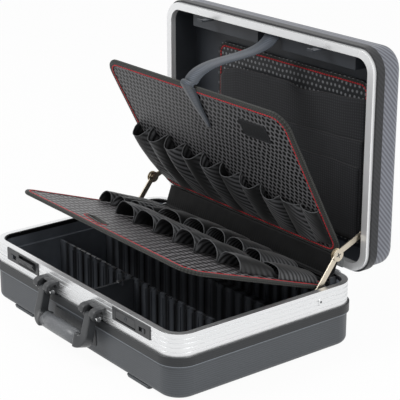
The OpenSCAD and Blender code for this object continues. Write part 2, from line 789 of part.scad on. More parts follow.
// ---------- lid stays ----------
pivot = [stay_y, stay_z];
elbow = [elbow_y, elbow_z];
arm_end = elbow + upper_arm_l * [cos(upper_arm_slope), sin(upper_arm_slope)];
hinge_at = [hinge_y, hinge_z];
function turned(p, a) = [p[0] * cos(a) - p[1] * sin(a), p[0] * sin(a) + p[1] * cos(a)];
// Where the arm's end is, seen from the lid, when the lid has closed by a degrees.
function end_on_lid(a) = hinge_at + turned(
    pivot + turned(elbow - pivot, lower_turn * a) + turned(arm_end - elbow, upper_turn * a) - hinge_at, -a);
slot_from = end_on_lid(0);
slot_to = end_on_lid(lid_turn);

module mirrored(s) {
    if (s > 0) children();
    else mirror([1, 0, 0]) children();
}

module stay_pins() color("#d8d2c4") for (s = [-1, 1]) mirrored(s) {
    pin_x(pivot, stay_pin_r, lower_arm_x - AIR, half_w - lower_arm_x + AIR);
    pin_x(pivot, pin_head_r, lower_arm_x - AIR - pin_head, pin_head);
    pin_x(pivot, pin_head_r, half_w, 1.2);
}

module stay_lower(s) color("#cfc6b4") mirrored(s) difference() {
    link(pivot, elbow, arm_w / 2, lower_arm_x, arm_t, arm_waist);
    pin_x(pivot, stay_pin_r + FIT, lower_arm_x - 1, arm_t + 2);
    pin_x(elbow, stay_pin_r + FIT, lower_arm_x - 1, arm_t + 2);
}

// The upper arm with the pin that slides in the lid's track.
module stay_upper(s) color("#cfc6b4") mirrored(s) {
    difference() {
        link(elbow, arm_end, arm_w / 2, upper_arm_x, arm_t, arm_waist);
        pin_x(elbow, stay_pin_r + FIT, upper_arm_x - 1, arm_t + 2);
    }
    pin_x(arm_end, slide_pin_r, upper_arm_x + arm_t, track_x + track_t - 0.2 - upper_arm_x - arm_t);
}

// Elbow pin with a disc outside and a flat head inside.
module elbow_pin(s) color("#d9d3c6") mirrored(s) {
    pin_x(elbow, stay_pin_r, upper_arm_x - AIR, lower_arm_x + arm_t - upper_arm_x + AIR);
    pin_x(elbow, elbow_disc_r - 1.5, upper_arm_x - AIR - pin_head, pin_head);
    difference() {
        pin_x(elbow, elbow_disc_r, lower_arm_x + arm_t, elbow_disc_t - 0.2);
        for (a = [45, 135]) translate([lower_arm_x + arm_t + elbow_disc_t - 0.2, elbow_y, elbow_z])
            rotate([a, 0, 0]) cube([1, 6, 1.2], center = true);
    }
}

module stay_tracks() color("#b7b9bb") for (s = [-1, 1]) mirrored(s) difference() {
    link(slot_from, slot_to, slot_half + track_rim, track_x, track_t);
    link(slot_from, slot_to, slot_half, track_x - 1, track_t + 2);
}

// ---------- tool boards ----------
// A board's binding: a C-shaped edge that holds the board's rim.
module binding(w, l, start) {
    translate([0, -start - (l - start) / 2, -binding_t / 2]) difference() {
        round_plate(w, l - start, board_r, binding_t);
        translate([0, 0, -1]) round_plate(w - 2 * binding_w, l - start - 2 * binding_w,
                                          board_r - binding_w, binding_t + 2);
        translate([0, 0, (binding_t - board_t) / 2])
            round_plate(w - 2 * inset, l - start - 2 * inset, board_r - inset, board_t);
    }
}

module board(w, l, start)
    translate([0, -start - (l - start) / 2, -board_t / 2])
        round_plate(w - 2 * inset, l - start - 2 * inset, board_r - inset, board_t);

// A hem round a rod, and the strip that leaves it, length l.
module hem_strip(w, l) {
    difference() {
        union() {
            pin_x([0, 0], hem_r, -w / 2, w);
            box([-w / 2, -l, -strip_t / 2], [w / 2, 0, strip_t / 2]);
        }
        pin_x([0, 0], rod_r + FIT, -w / 2 - 1, w + 2);
    }
}

// A loop's arch: straight sides down to -h, and a round top that is rise high.
function arch_line(side, h, rise) =
    concat([[side, -h]], [for (a = [0 : 15 : 180]) [side * cos(a), h - rise + rise * sin(a)]], [[-side, -h]]);

// One loop on z = 0, open at both ends. It runs from its foot at y = 0 to its mouth at y = -l,
// and its roof rises from loop_foot_h to h.
module loop(w, h, l) {
    side = 0.5 * w - loop_gap / 2;
    rise = loop_round * h;
    intersection() {
        rotate([-atan((h - loop_foot_h) / l), 0, 0]) translate([0, h, loop_foot_h - h])
            rotate([90, 0, 0]) linear_extrude(l + 2 * h) difference() {
                polygon(arch_line(side, h, rise));
                polygon(arch_line(side - loop_t, h - loop_t, rise - loop_t));
            }
        box([-w, -l, 0], [w, 0, 2 * h]);
    }
}

module upper_place() raised(fold_y, fold_z, upper_slope) children();
module lower_place() raised(rod_y, lower_rod_z, lower_slope) children();

module upper_board() color("#4a4b4c") upper_place() board(upper_w, upper_l, panel_start);

module upper_binding() color("#565758") upper_place() binding(upper_w, upper_l, panel_start);

// Loops under the upper board; their mouths face its top edge.
upper_pitch = (upper_w - 2 * (binding_w + loop_side)) / upper_loop_n;
function upper_x(i) = (i - (upper_loop_n - 1) / 2) * upper_pitch;
function upper_flat(i) = i >= upper_loop_n - 2;
function upper_mouth(i) = upper_flat(i) ? flat_mouth_from : upper_mouth_from - 1.2 * i;
// Where a loop may start, so that its outer side clears the binding's round corner.
function loop_foot(x, pitch, w, start, from) =
    let (side = abs(x) + pitch / 2 - (w / 2 - board_r), r = board_r - binding_w)
    max(from, start + board_r - sqrt(r * r - pow(max(0, side), 2)) + AIR);
module upper_loops() color("#2c2d2f") upper_place() for (i = [0 : upper_loop_n - 1]) {
    foot = loop_foot(upper_x(i), upper_pitch, upper_w, panel_start, upper_foot);
    translate([upper_x(i), -foot, -board_t / 2]) mirror([0, 0, 1])
        loop(upper_pitch, upper_flat(i) ? flat_loop_h : upper_loop_h, upper_mouth(i) - foot);
}

// The strip leans back from its rod and ends in the bead that the upper board turns on.
module upper_strip() color("#303133") raised(rod_y, upper_rod_z, 180 - strip_lean) {
    hem_strip(rod_l - 2 * AIR, strip_l - fold_r / 2);
    pin_x([-strip_l, 0], fold_r, -rod_l / 2 + AIR, rod_l - 2 * AIR);
}

module rod(z) pin_x([rod_y, z], rod_r, -rod_l / 2 - ear_t, rod_l + 2 * ear_t);
module upper_rod() color("#8d8f91") rod(upper_rod_z);

module lower_rod() color("#8d8f91") rod(lower_rod_z);

module lower_board() color("#4a4b4c") lower_place() difference() {
    board(lower_w, lower_l, lower_start);
    translate([slot_x, -lower_l + slot_edge, -board_t]) rotate(-slot_turn)
        round_plate(slot_l, slot_w, slot_w / 2 - 0.1, 2 * board_t);
}

module lower_binding() color("#565758") lower_place() binding(lower_w, lower_l, lower_start);

module lower_loops_front() color("#3a3b3d") lower_place() for (i = [0 : front_loop_n - 1])
    translate([lower_w / 2 - front_loop_side - (front_loop_n - 1 - i) * front_pitch, -front_loop_from, board_t / 2])
        loop(front_pitch, front_loop_h, front_loop_l);

rear_pitch = (lower_w - 2 * (binding_w + 2 * loop_side)) / rear_loop_n;
function rear_x(i) = (i - (rear_loop_n - 1) / 2) * rear_pitch;
module lower_loops_rear() color("#3a3b3d") lower_place() for (i = [0 : rear_loop_n - 1]) {
    foot = loop_foot(rear_x(i), rear_pitch, lower_w, lower_start, rear_loop_from);
    translate([rear_x(i), -foot, board_t / 2])
        loop(rear_pitch, rear_loop_h, rear_loop_from + rear_loop_l - foot);
}

module lower_strip() color("#303133") lower_place() hem_strip(rod_l - 2 * AIR, lower_start);

// The rail on the liner's back wall, with an ear for the rods at each end.
module rod_rail() color("#b4b6b8") difference() {
    back = half_d - liner_x - liner_t;
    union() {
        box([-rod_l / 2 - ear_t, back - rail_t, rail_from], [rod_l / 2 + ear_t, back, upper_rod_z + ear_reach]);
        for (s = [-1, 1]) box([s > 0 ? rod_l / 2 : -rod_l / 2 - ear_t, rod_y - ear_reach, rail_from],
                              [s > 0 ? rod_l / 2 + ear_t : -rod_l / 2, back, upper_rod_z + ear_reach]);
    }
    for (z = [lower_rod_z, upper_rod_z]) pin_x([rod_y, z], rod_r + 0.02, -rod_l, 2 * rod_l);
}

// ---------- strap ----------
// The strap's middle line on the YZ plane: out of the lid, over the board's top edge, down its face.
board_top = [fold_y, fold_z] + upper_l * [-cos(upper_slope), sin(upper_slope)];
board_away = [-sin(upper_slope), -cos(upper_slope)];
board_down = [cos(upper_slope), -sin(upper_slope)];
edge_r = binding_t / 2 + AIR + strap_t / 2;
strap_end = board_top + edge_r * board_away + strap_hang * board_down;
strap_over = [for (a = [180 : -30 : 30]) board_top + (edge_r + 0.4) * turned(-board_away, a)];
strap_start = board_top + (edge_r + 0.4) * turned(-board_away, 30);
strap_wall = hinge_z + hinge_y + half_d - lid_rim_w;     // inner face of the lid's front wall, open
strap_lid = [hinge_y + 19, strap_wall - AIR - strap_t / 2];
strap_seat = strap_lid + [16, 0];                        // the end that lies flat on that wall
strap_rise = board_top + strap_bulge;
strap_dip = strap_lid + strap_drop;
strap_sag = [for (t = [0.1 : 0.1 : 1])
    pow(1 - t, 3) * strap_start + 3 * t * pow(1 - t, 2) * strap_rise
    + 3 * t * t * (1 - t) * strap_dip + pow(t, 3) * strap_lid];
strap_line = concat([strap_end], strap_over, strap_sag, [strap_seat]);
strap_n = len(strap_line);
function strap_dir(i) = let (d = strap_line[min(i + 1, strap_n - 1)] - strap_line[max(i - 1, 0)]) d / norm(d);
function strap_side(i, s) = strap_line[i] + s * strap_t / 2 * [-strap_dir(i)[1], strap_dir(i)[0]];
module strap() color("#5a5f68") translate([strap_x - strap_w / 2, 0, 0]) rotate([90, 0, 90])
    linear_extrude(strap_w) polygon(concat(
        [for (i = [0 : strap_n - 1]) strap_side(i, 1)], [for (i = [strap_n - 1 : -1 : 0]) strap_side(i, -1)]));

// ---------- latches ----------
module latch_plate(s) color("#4f5154") mirrored(s) difference() {
    union() {
        translate([latch_x, -half_d + leaf_t / 2 - latch_out / 2, latch_z])
            cube([latch_w, leaf_t + latch_out, latch_h], center = true);
        translate([latch_x, -half_d + leaf_t + case_depth / 2, latch_z])
            cube([latch_w - 6, case_depth, latch_h - 4], center = true);
    }
    // pocket for the hasp
    translate([hasp_x, -half_d - latch_out + (hasp_t + 2.4) / 2 - 0.5, latch_z])
        cube([hasp_w + 1, hasp_t + 3.4, hasp_h + 1], center = true);
    // way through for the slider
    translate([slider_x - slider_travel / 2, -half_d, slider_z])
        cube([slider_travel + button_w + 0.6, 20, bolt_h + 0.6], center = true);
    pin_x([hasp_pin_y, hasp_pin_z], hasp_pin_r + FIT, hasp_x - hasp_w / 2 - 3.2, hasp_w + 6.4);
}

module hasp_pins() color("#b9bbbd") for (s = [-1, 1]) mirrored(s)
    pin_x([hasp_pin_y, hasp_pin_z], hasp_pin_r, hasp_x - hasp_w / 2 - 3, hasp_w + 6);

// A hasp turned outwards by a degrees about its pin.
module on_hasp(s, a) mirrored(s) translate([0, hasp_pin_y, hasp_pin_z]) rotate([a, 0, 0]) children();

module latch_hasp(s, a) color("#6d7074") on_hasp(s, a) difference() {
    front = latch_face_y - hasp_pin_y;
    union() {
        translate([hasp_x - hasp_w / 2, front, 0]) cube([hasp_w, hasp_t, hasp_h - 1.8]);
        pin_x([0, 0], 1.5, hasp_x - hasp_w / 2, hasp_w);
    }
    pin_x([0, 0], hasp_pin_r + FIT, hasp_x - hasp_w, 2 * hasp_w);
    translate([hasp_x, front - 1, plug_z]) rotate([-90, 0, 0]) cylinder(r = plug_r + FIT, h = hasp_t + 2);
}

module lock_plug(s, a) color("#b2b4b6") on_hasp(s, a) difference() {
    front = latch_face_y - hasp_pin_y;
    translate([hasp_x, front - 0.4, plug_z]) rotate([-90, 0, 0]) cylinder(r = plug_r, h = hasp_t + 0.4);
    translate([hasp_x, front - 0.4, plug_z]) cube([1, 3, 4], center = true);
}

// Button outside, stem through the case, and the bolt that holds the lid's catch.
module latch_slider(s) color("#2a2b2d") mirrored(s) {
    translate([slider_x, 0, slider_z]) {
        box([-button_w / 2, latch_face_y - 0.8, -bolt_h / 2], [button_w / 2, bolt_y, bolt_h / 2]);
        box([-(slider_x - catch_x) + catch_w / 2 + 1, bolt_y, -bolt_h / 2], [button_w / 2, bolt_y + bolt_t, bolt_h / 2]);
    }
}

// ---------- handle ----------
module handle_brackets() color("#434548") for (s = [-1, 1]) difference() {
    translate([s * bracket_x - bracket_w / 2, -half_d - bracket_out, bracket_z])
        cube([bracket_w, bracket_out, bracket_h]);
    // slot that the arm turns in, open in front and below
    translate([s * bracket_x - cheek_gap / 2, -half_d - bracket_out - 1, bracket_z - 1])
        cube([cheek_gap, bracket_out + 1 - bracket_back, bracket_h - 1]);
    translate([s * bracket_x - cheek_gap / 2, -half_d - bracket_out - 1, bracket_z - 1])
        cube([cheek_gap, bracket_out + 1 - bridge_d, bracket_h + 2]);
    pin_x([handle_pin_y, handle_pin_z], handle_pin_r + 0.02, s * bracket_x - bracket_w / 2 - 1, bracket_w + 2);
}

module handle_pins() color("#e2e3e4") for (s = [-1, 1]) {
    pin_x([handle_pin_y, handle_pin_z], handle_pin_r, s * bracket_x - bracket_w / 2, bracket_w);
    for (e = [-1, 1]) pin_x([handle_pin_y, handle_pin_z], handle_pin_r + 1.2,
                            s * bracket_x + (e > 0 ? bracket_w / 2 : -bracket_w / 2 - 1.2), 1.2);
}

module hanging() translate([0, handle_pin_y, handle_pin_z]) rotate([-handle_lean, 0, 0]) children();

module handle_bail() color("#3b3d40") hanging() {
    for (s = [-1, 1]) difference() {
        union() {
            pin_x([0, 0], handle_arm_d / 2, s * bracket_x - handle_arm_w / 2, handle_arm_w);
            translate([s * bracket_x - handle_arm_w / 2, -handle_arm_d / 2, -handle_arm_l])
                cube([handle_arm_w, handle_arm_d, handle_arm_l]);
            pin_x([0, -handle_arm_l], grip_r, s * bracket_x - handle_arm_w / 2, handle_arm_w);
        }
        pin_x([0, 0], handle_pin_r + FIT, s * bracket_x - handle_arm_w, 2 * handle_arm_w);
    }
    pin_x([0, -handle_arm_l], grip_bar_r, -bracket_x + handle_arm_w / 2, 2 * bracket_x - handle_arm_w);
}

module handle_grip() color("#77797c") hanging() difference() {
    grip_l = 2 * bracket_x - handle_arm_w;
    pin_x([0, -handle_arm_l], grip_r - 0.4, -grip_l / 2, grip_l);
    pin_x([0, -handle_arm_l], grip_bar_r + 0.02, -grip_l, 2 * grip_l);
}

base_shell();
base_feet();
base_frame();
base_liner();
front_divider();
rear_divider();
cross_divider();
divider_clips();
hinge_leaf_base();
hinge_leaf_lid();
hinge_pin();
hinge_rivets_base();
hinge_rivets_lid();
lid_shell();
lid_frame();
lid_liner();
document_board();
document_pockets();
lid_catches();
stay_pins();
stay_lower(-1);  // stay_lower_left
stay_lower(1);  // stay_lower_right
stay_upper(-1);  // stay_upper_left
stay_upper(1);  // stay_upper_right
elbow_pin(-1);  // elbow_pin_left
elbow_pin(1);  // elbow_pin_right
stay_tracks();
upper_board();
upper_binding();
upper_loops();
upper_strip();
upper_rod();
lower_board();
lower_binding();
lower_loops_front();
lower_loops_rear();
lower_strip();
lower_rod();
rod_rail();
strap();
latch_plate(-1);  // latch_plate_left
latch_plate(1);  // latch_plate_right
latch_hasp(-1, hasp_open);  // latch_hasp_left
latch_hasp(1, 0);  // latch_hasp_right
hasp_pins();
lock_plug(-1, hasp_open);  // lock_plug_left
lock_plug(1, 0);  // lock_plug_right
latch_slider(-1);  // latch_slider_left
latch_slider(1);  // latch_slider_right
handle_brackets();
handle_pins();
handle_bail();
handle_grip();
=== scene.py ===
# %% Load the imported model
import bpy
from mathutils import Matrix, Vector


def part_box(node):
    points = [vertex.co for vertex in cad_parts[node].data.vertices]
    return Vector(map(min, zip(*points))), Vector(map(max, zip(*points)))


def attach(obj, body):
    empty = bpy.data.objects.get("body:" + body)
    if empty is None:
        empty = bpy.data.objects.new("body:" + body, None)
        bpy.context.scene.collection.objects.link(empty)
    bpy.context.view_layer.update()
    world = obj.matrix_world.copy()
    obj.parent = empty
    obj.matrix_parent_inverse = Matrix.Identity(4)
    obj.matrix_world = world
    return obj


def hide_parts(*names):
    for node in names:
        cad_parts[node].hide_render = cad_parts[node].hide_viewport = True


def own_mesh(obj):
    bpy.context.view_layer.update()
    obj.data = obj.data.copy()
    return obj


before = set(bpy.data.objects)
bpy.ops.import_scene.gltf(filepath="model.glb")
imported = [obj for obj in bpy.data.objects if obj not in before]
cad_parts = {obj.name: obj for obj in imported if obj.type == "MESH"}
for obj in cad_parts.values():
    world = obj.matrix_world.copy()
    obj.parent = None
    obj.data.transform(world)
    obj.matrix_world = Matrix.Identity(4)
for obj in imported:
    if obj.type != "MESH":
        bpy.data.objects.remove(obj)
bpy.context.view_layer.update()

# %% [markdown]
# # A hard tool case, dressed for the camera
# The frame holds every rigid part of the case in its true place, in metres. This lesson gives
# each of them a finish, and builds the sewn parts, the handle and the feet again in mesh code.
# Their lengths are written in millimetres, as on a drawing, and one factor turns them to metres;
# only the stage is laid out in metres.

# %% Tools used all through
import bmesh
import bpy
import math
from mathutils import Vector, noise

MM = 0.001
scene = bpy.context.scene


def hex_colour(code):
    """Turns an sRGB hex colour into Blender's linear RGBA."""
    parts = [int(code[i:i + 2], 16) / 255 for i in (1, 3, 5)]
    return [c / 12.92 if c <= 0.04045 else ((c + 0.055) / 1.055) ** 2.4 for c in parts] + [1.0]


def feed(tree, node, inputs):
    """Gives each input a value, or a link from a socket or from a node's first output in use."""
    for name, value in inputs.items():
        if isinstance(value, bpy.types.Node):
            value = next(output for output in value.outputs if output.enabled)
        if isinstance(value, bpy.types.NodeSocket):
            tree.links.new(value, node.inputs[name])
        else:
            node.inputs[name].default_value = value


def add(tree, kind, inputs=None, **settings):
    """Adds one node with its settings, and feeds its inputs."""
    made = tree.nodes.new("ShaderNode" + kind)
    for name, value in settings.items():
        setattr(made, name, value)
    feed(tree, made, inputs or {})
    return made


print("mid grey in linear light:", [round(c, 3) for c in hex_colour("#808080")[:3]])

# %% [markdown]
# ## Materials: where a pattern gets its size
# Every pattern here is procedural. A part of the frame has its origin on the floor under the
# case, so its object coordinates are metres; a Mapping node with scale 1000 turns them into
# millimetres, and a rotation lays them along a tilted board. Sewn parts are swept along a line, so
# they carry a UV map in millimetres: U along the line and V across it. A Wave texture repeats
# every pi / 10 / scale units, so a helper turns a pitch into its scale.

# %% Coordinates and a material's start
def wave_scale(pitch):
    """The Wave texture's scale that repeats every pitch."""
    return math.pi / 10 / pitch


def grey(level):
    """The same linear value in all three colours."""
    return (level, level, level, 1)


def material(name, colour, roughness, sockets=None):
    """A new material; returns it, its tree and its shader. Constants go on the shader itself."""
    made = bpy.data.materials.new(name)
    made.use_nodes = True
    made.diffuse_color = hex_colour(colour)
    tree = made.node_tree
    shader = tree.nodes["Principled BSDF"]
    feed(tree, shader, {"Base Color": hex_colour(colour), "Roughness": roughness, **(sockets or {})})
    print("material:", name, colour)
    return made, tree, shader


def millimetres(tree, turn_x=0.0):
    """Object coordinates in millimetres, turned about X by degrees."""
    place = add(tree, "TexCoord").outputs["Object"]
    return add(tree, "Mapping", {
        "Vector": place, "Scale": (1000, 1000, 1000), "Rotation": (math.radians(turn_x), 0, 0)})


def two_tone(tree, pattern, colours, where, scale, detail, low, high):
    """A pattern in two hex colours, whose brightness wanders from low to high with a noise."""
    dark, light = [hex_colour(code) for code in colours]
    tint = add(tree, "Mix", {"Factor": pattern, "A": dark, "B": light}, data_type="RGBA")
    cloud = add(tree, "TexNoise", {"Vector": where, "Scale": scale, "Detail": detail})
    tone = add(tree, "Mix", {"Factor": cloud, "A": low, "B": high}, data_type="RGBA")
    return add(tree, "Mix", {"Factor": 1.0, "A": tint, "B": tone},
               data_type="RGBA", blend_type="MULTIPLY")


def relief(tree, radius, *layers):
    """Edges rounded by radius mm, under bumps that are given as (height, strength, depth in mm)."""
    normal = add(tree, "Bevel", {"Radius": radius * MM}, samples=4)
    for height, strength, depth in layers:
        normal = add(tree, "Bump", {
            "Strength": strength, "Distance": depth * MM, "Height": height, "Normal": normal})
    return normal


print("scale of a 1.4 mm stripe:", round(wave_scale(1.4), 4))

# %% [markdown]
# ## Moulded ABS shells
# The two shells are vacuum or injection moulded ABS. The tool was engraved with fine lines that
# run parallel to the frame, about 1.4 mm apart; they break the gloss into soft pin stripes. The
# lines can be cut into the mesh, but thousands of edges would say no more than a bump does, so a
# Wave texture lifts them and paints shade into them. That is finer than a small picture can show,
# so they are drawn 3.2 mm apart on the base and 5.2 mm on the lid. The lip that grips the frame is
# smooth; the shade it lies in next to the frame is painted on as a darker band, and on the base a
# pale line of painted highlight runs along its lower edge. A Bevel node rounds the sharp CAD edges.

# %% ABS
def abs_plastic(name, colour, groove_shade, axis, pitch, lip, swing, turn, highlight_at, shadow):
    """Grey ABS with lines every pitch along the axis, turned about X, that waver by swing.

    The lines are darkened with painted shade. A lip between two places on that axis is darkened
    by painted shade to shadow, and a pale line of painted highlight runs at one place on the axis.
    """
    made, tree, shader = material(name, colour, 0.42, {"Specular IOR Level": 0.45})
    where = millimetres(tree)
    # the engraved lines, raised by a bump and darkened with painted shade
    lines = add(tree, "TexWave", {
        "Vector": millimetres(tree, turn), "Scale": wave_scale(pitch), "Distortion": swing,
        "Detail": 1.0, "Detail Scale": 0.12}, bands_direction=axis).outputs["Fac"]
    place = add(tree, "SeparateXYZ", {"Vector": where}).outputs[axis]
    # a pale line of painted highlight along the lip's lower edge
    painted_highlight = add(tree, "Math", {0: place, 1: highlight_at, 2: 0.75}, operation="COMPARE")
    # the lip's band of painted shade next to the frame
    middle, half = (lip[0] + lip[1]) / 2, (lip[1] - lip[0]) / 2 + 0.3
    lip_shade_mask = add(tree, "Math", {0: place, 1: middle, 2: half}, operation="COMPARE")
    shade = add(tree, "Mix", {"Factor": lip_shade_mask, "A": grey(1), "B": grey(shadow)}, data_type="RGBA")
    shade = add(tree, "Mix", {"Factor": painted_highlight, "A": shade, "B": grey(2.4)}, data_type="RGBA")
    # the lines take the darker colour, as painted shade in the grooves
    plain = two_tone(
        tree, lines, (groove_shade, colour), where, 0.012, 2.0, grey(0.86), (1.12, 1.12, 1.14, 1))
    final = add(tree, "Mix", {"Factor": 1.0, "A": plain, "B": shade},
                data_type="RGBA", blend_type="MULTIPLY")
    grain = add(tree, "TexNoise", {"Vector": where, "Scale": 0.9, "Detail": 3.0})
    dull = add(tree, "MapRange", {"Value": grain, "To Min": 0.36, "To Max": 0.52})
    normal = relief(tree, 0.9, (lines, 0.35, 0.25), (grain, 0.25, 0.08))
    feed(tree, shader, {"Base Color": final, "Roughness": dull, "Normal": normal})
    return made


def dress(finish, *names):
    """Puts a material on parts of the frame."""
    for name in names:
        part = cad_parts[name]
        if not part.material_slots:
            part.data.materials.append(finish)
        for place in part.material_slots:
            place.material = finish


NOWHERE = -999  # for no line of painted highlight
# The base's lip is painted into shade at 0.28 with a painted highlight line at 52.9 mm; the lid's lip
# is shaded to 0.1 and has no highlight line.
base_abs = abs_plastic(
    "moulded ABS, base", "#4e5256", "#44474b", "Z", 3.2, (52.3, 66.0), 0.0, 0, 52.9, 0.28)
lid_abs = abs_plastic(
    "moulded ABS, lid", "#84878f", "#5a5c64", "Y", 5.2, (183.7, 197.4), 1.6, -41, NOWHERE, 0.1)
dress(base_abs, "base_shell", "base_feet")
dress(lid_abs, "lid_shell")

# %% [markdown]
# ## Extruded aluminium frame
# The frame is an extruded aluminium profile, bent round the corners and satin finished. The die
# leaves long lines in it, so its gloss is smeared across the profile: a metal with a roughness
# near 0.3 and streaks of noise, stretched along the frame and squeezed across it. Satin aluminium
# also scatters light as paint does, which a metallic share below 1 stands for. The lid's frame is
# the same metal with a far smaller metallic share and fainter streaks, so that it renders brighter:
# a lit copy, painted light that stands in for the bright reflection along it. Plated steel,
# chrome and nickel use the same recipe.

# %% Aluminium and plated steel
def satin_metal(name, colour, roughness, squeeze, strength=0.25, dark=0.8, metal=1.0):
    """A brushed metal; squeeze gives the noise's scale per millimetre on each axis."""
    made, tree, shader = material(name, colour, roughness, {"Metallic": metal})
    long = add(tree, "Mapping", {"Vector": millimetres(tree), "Scale": squeeze})
    streak = add(tree, "TexNoise", {"Vector": long, "Scale": 1.0, "Detail": 4.0, "Roughness": 0.6})
    low = [c * dark for c in hex_colour(colour)[:3]] + [1.0]
    tint = add(tree, "Mix", {"Factor": streak, "A": low, "B": hex_colour(colour)}, data_type="RGBA")
    dull = add(tree, "MapRange", {
        "Value": streak, "From Min": 0.3, "From Max": 0.7, "To Min": roughness - 0.08,
        "To Max": roughness + 0.1})
    normal = relief(tree, 0.35, (streak, strength, 0.1))
    feed(tree, shader, {"Base Color": tint, "Roughness": dull, "Normal": normal})
    return made


base_band = satin_metal(
    "extruded aluminium, base", "#f2f3f4", 0.30, (0.0015, 0.0015, 0.7), 0.06, 0.84, 0.86)
# the lid's lit copy: less metallic and with fainter streaks, painted light that makes it render
# brighter
lid_band = satin_metal(
    "extruded aluminium, lid, lit copy", "#f2f3f4", 0.30, (0.0015, 0.7, 0.0015), 0.06, 0.94, 0.38)
zinc = satin_metal("zinc plated steel", "#c3c5c7", 0.34, (0.4, 0.4, 0.4))
chrome = satin_metal("bright chrome", "#f0f1f2", 0.12, (0.2, 0.2, 0.2), 0.05, 0.95)
nickel = satin_metal("champagne nickel plate", "#d9cfbd", 0.33, (0.5, 0.5, 0.5), 0.2)
# the lock plugs' blackened steel, which also gives the screws' recesses and the pins' sockets their
# painted shade
plug_steel_and_recess_shade = satin_metal("blackened steel and painted recess shade", "#5b5d60", 0.42, (0.4, 0.4, 0.4), 0.2)
dress(base_band, "base_frame", "stay_pins")
dress(lid_band, "lid_frame")
dress(zinc, "hinge_leaf_base", "hinge_leaf_lid", "hinge_pin", "hinge_rivets_base", "hinge_rivets_lid",
      "stay_tracks", "rod_rail", "upper_rod", "lower_rod", "hasp_pins")
dress(chrome, "handle_pins", "divider_clips")
dress(nickel, "stay_lower_left", "stay_lower_right", "stay_upper_left", "stay_upper_right",
      "elbow_pin_left", "elbow_pin_right")
dress(plug_steel_and_recess_shade, "lock_plug_left", "lock_plug_right")

# %% [markdown]
# ## Liners and dividers
# The linings are thin black sheet, vacuum formed, so they are smooth with a faint ripple and a
# dusty sheen. The dividers are moulded polypropylene, a touch duller. The ribs of the tray and the
# dividers are 22 mm apart and very low, so a Wave texture paints shade into the gaps between them.
# A noise of a few centimetres gives the ripple and the dust, and a Bevel node rounds the edges.

# %% Black sheet
RIBS_END = 205.0  # mm from the middle


def black_sheet(name, colour, roughness, ripple, dust, rib=0.0, rim=None):
    """Thin black plastic with a slow ripple and dust.

    If asked, bands of painted shade fill the gaps between upright ribs every rib mm, with a dark
    rim round the height rim[0].
    """
    made, tree, shader = material(name, colour, roughness, {"Specular IOR Level": 0.4})
    where = millimetres(tree)
    wave = add(tree, "TexNoise", {"Vector": where, "Scale": 0.03, "Detail": 2.0})
    fine = add(tree, "TexNoise", {"Vector": where, "Scale": 1.2, "Detail": 2.0})
    tint = add(tree, "Mix", {"Factor": wave, "A": hex_colour(colour), "B": hex_colour(dust)},
               data_type="RGBA")
    if rib:
        place = add(tree, "SeparateXYZ", {"Vector": where}).outputs
        # bands of painted shade in the gaps between the ribs
        rib_gap_shade = add(tree, "TexWave", {
            "Vector": where, "Scale": wave_scale(rib), "Distortion": 2.2, "Detail": 1.0,
            "Detail Scale": 0.05}, bands_direction="X").outputs["Fac"]
        ribbed_part = add(tree, "Math", {0: place["X"], 1: 0.0, 2: RIBS_END}, operation="COMPARE")
        ends = add(tree, "Math", {0: 1.0, 1: ribbed_part}, operation="SUBTRACT")
        shown = add(tree, "Math", {0: rib_gap_shade, 1: ends}, operation="MAXIMUM")
        # the gaps take the near-black colour of painted shade
        tint = add(tree, "Mix", {"Factor": shown, "A": (0.009, 0.009, 0.010, 1), "B": tint},
                   data_type="RGBA")
        if rim:
            high = add(tree, "Math", {0: place["Z"], 1: rim[0], 2: rim[1]}, operation="COMPARE")
            tint = add(tree, "Mix", {"Factor": high, "A": tint, "B": (0.006, 0.006, 0.007, 1)},
                       data_type="RGBA")
    normal = relief(tree, 0.6, (wave, 0.5, ripple), (fine, 0.2, 0.06))
    feed(tree, shader, {"Base Color": tint, "Normal": normal})
    return made


lid_lining = black_sheet("vacuum formed black sheet, lid", "#2d3035", 0.48, 1.5, "#3c4046")
# The base's lining is the same black sheet as the lid's, but its colour and dust are far lighter:
# painted light that stands in for the fill light reaching into the deep tray.
base_lining = black_sheet(
    "vacuum formed black sheet, base, painted lighter", "#5c6168", 0.30, 1.5, "#838992", 22.0, (100.0, 8.0))
rib_plastic = black_sheet("moulded black polypropylene", "#3d4045", 0.36, 0.3, "#5c6066", 22.0)
# the front panel's fine ribs, 3.6 mm apart, are bands of painted shade
panel_plastic = black_sheet("ribbed ABS panel", "#3e4144", 0.42, 0.2, "#4a4d51", 3.6)
dress(base_lining, "base_liner")
dress(lid_lining, "lid_liner", "lid_catches")
dress(rib_plastic, "front_divider", "rear_divider", "cross_divider", "latch_slider_left",
      "latch_slider_right")

# %% [markdown]
# ## Woven vinyl on the boards
# The boards are fibreboard covered with vinyl that is embossed like a basket weave. Its cells are
# half this size, finer than a small picture can show, so they are drawn coarse: staggered dots
# 9 mm apart in rows 8.4 mm apart, and half as large again on the lower board. Three waves of
# cosine, added, peak at such dots: two lie aslant and one along the rows. The tool boards have
# pits that are darkened to near black with painted shade; the board in the lid has pale dots.

# %% Woven vinyl
UPPER_SLOPE, LOWER_SLOPE = 62.7, 19.1
COLUMN, ROW = 9.1, 8.4


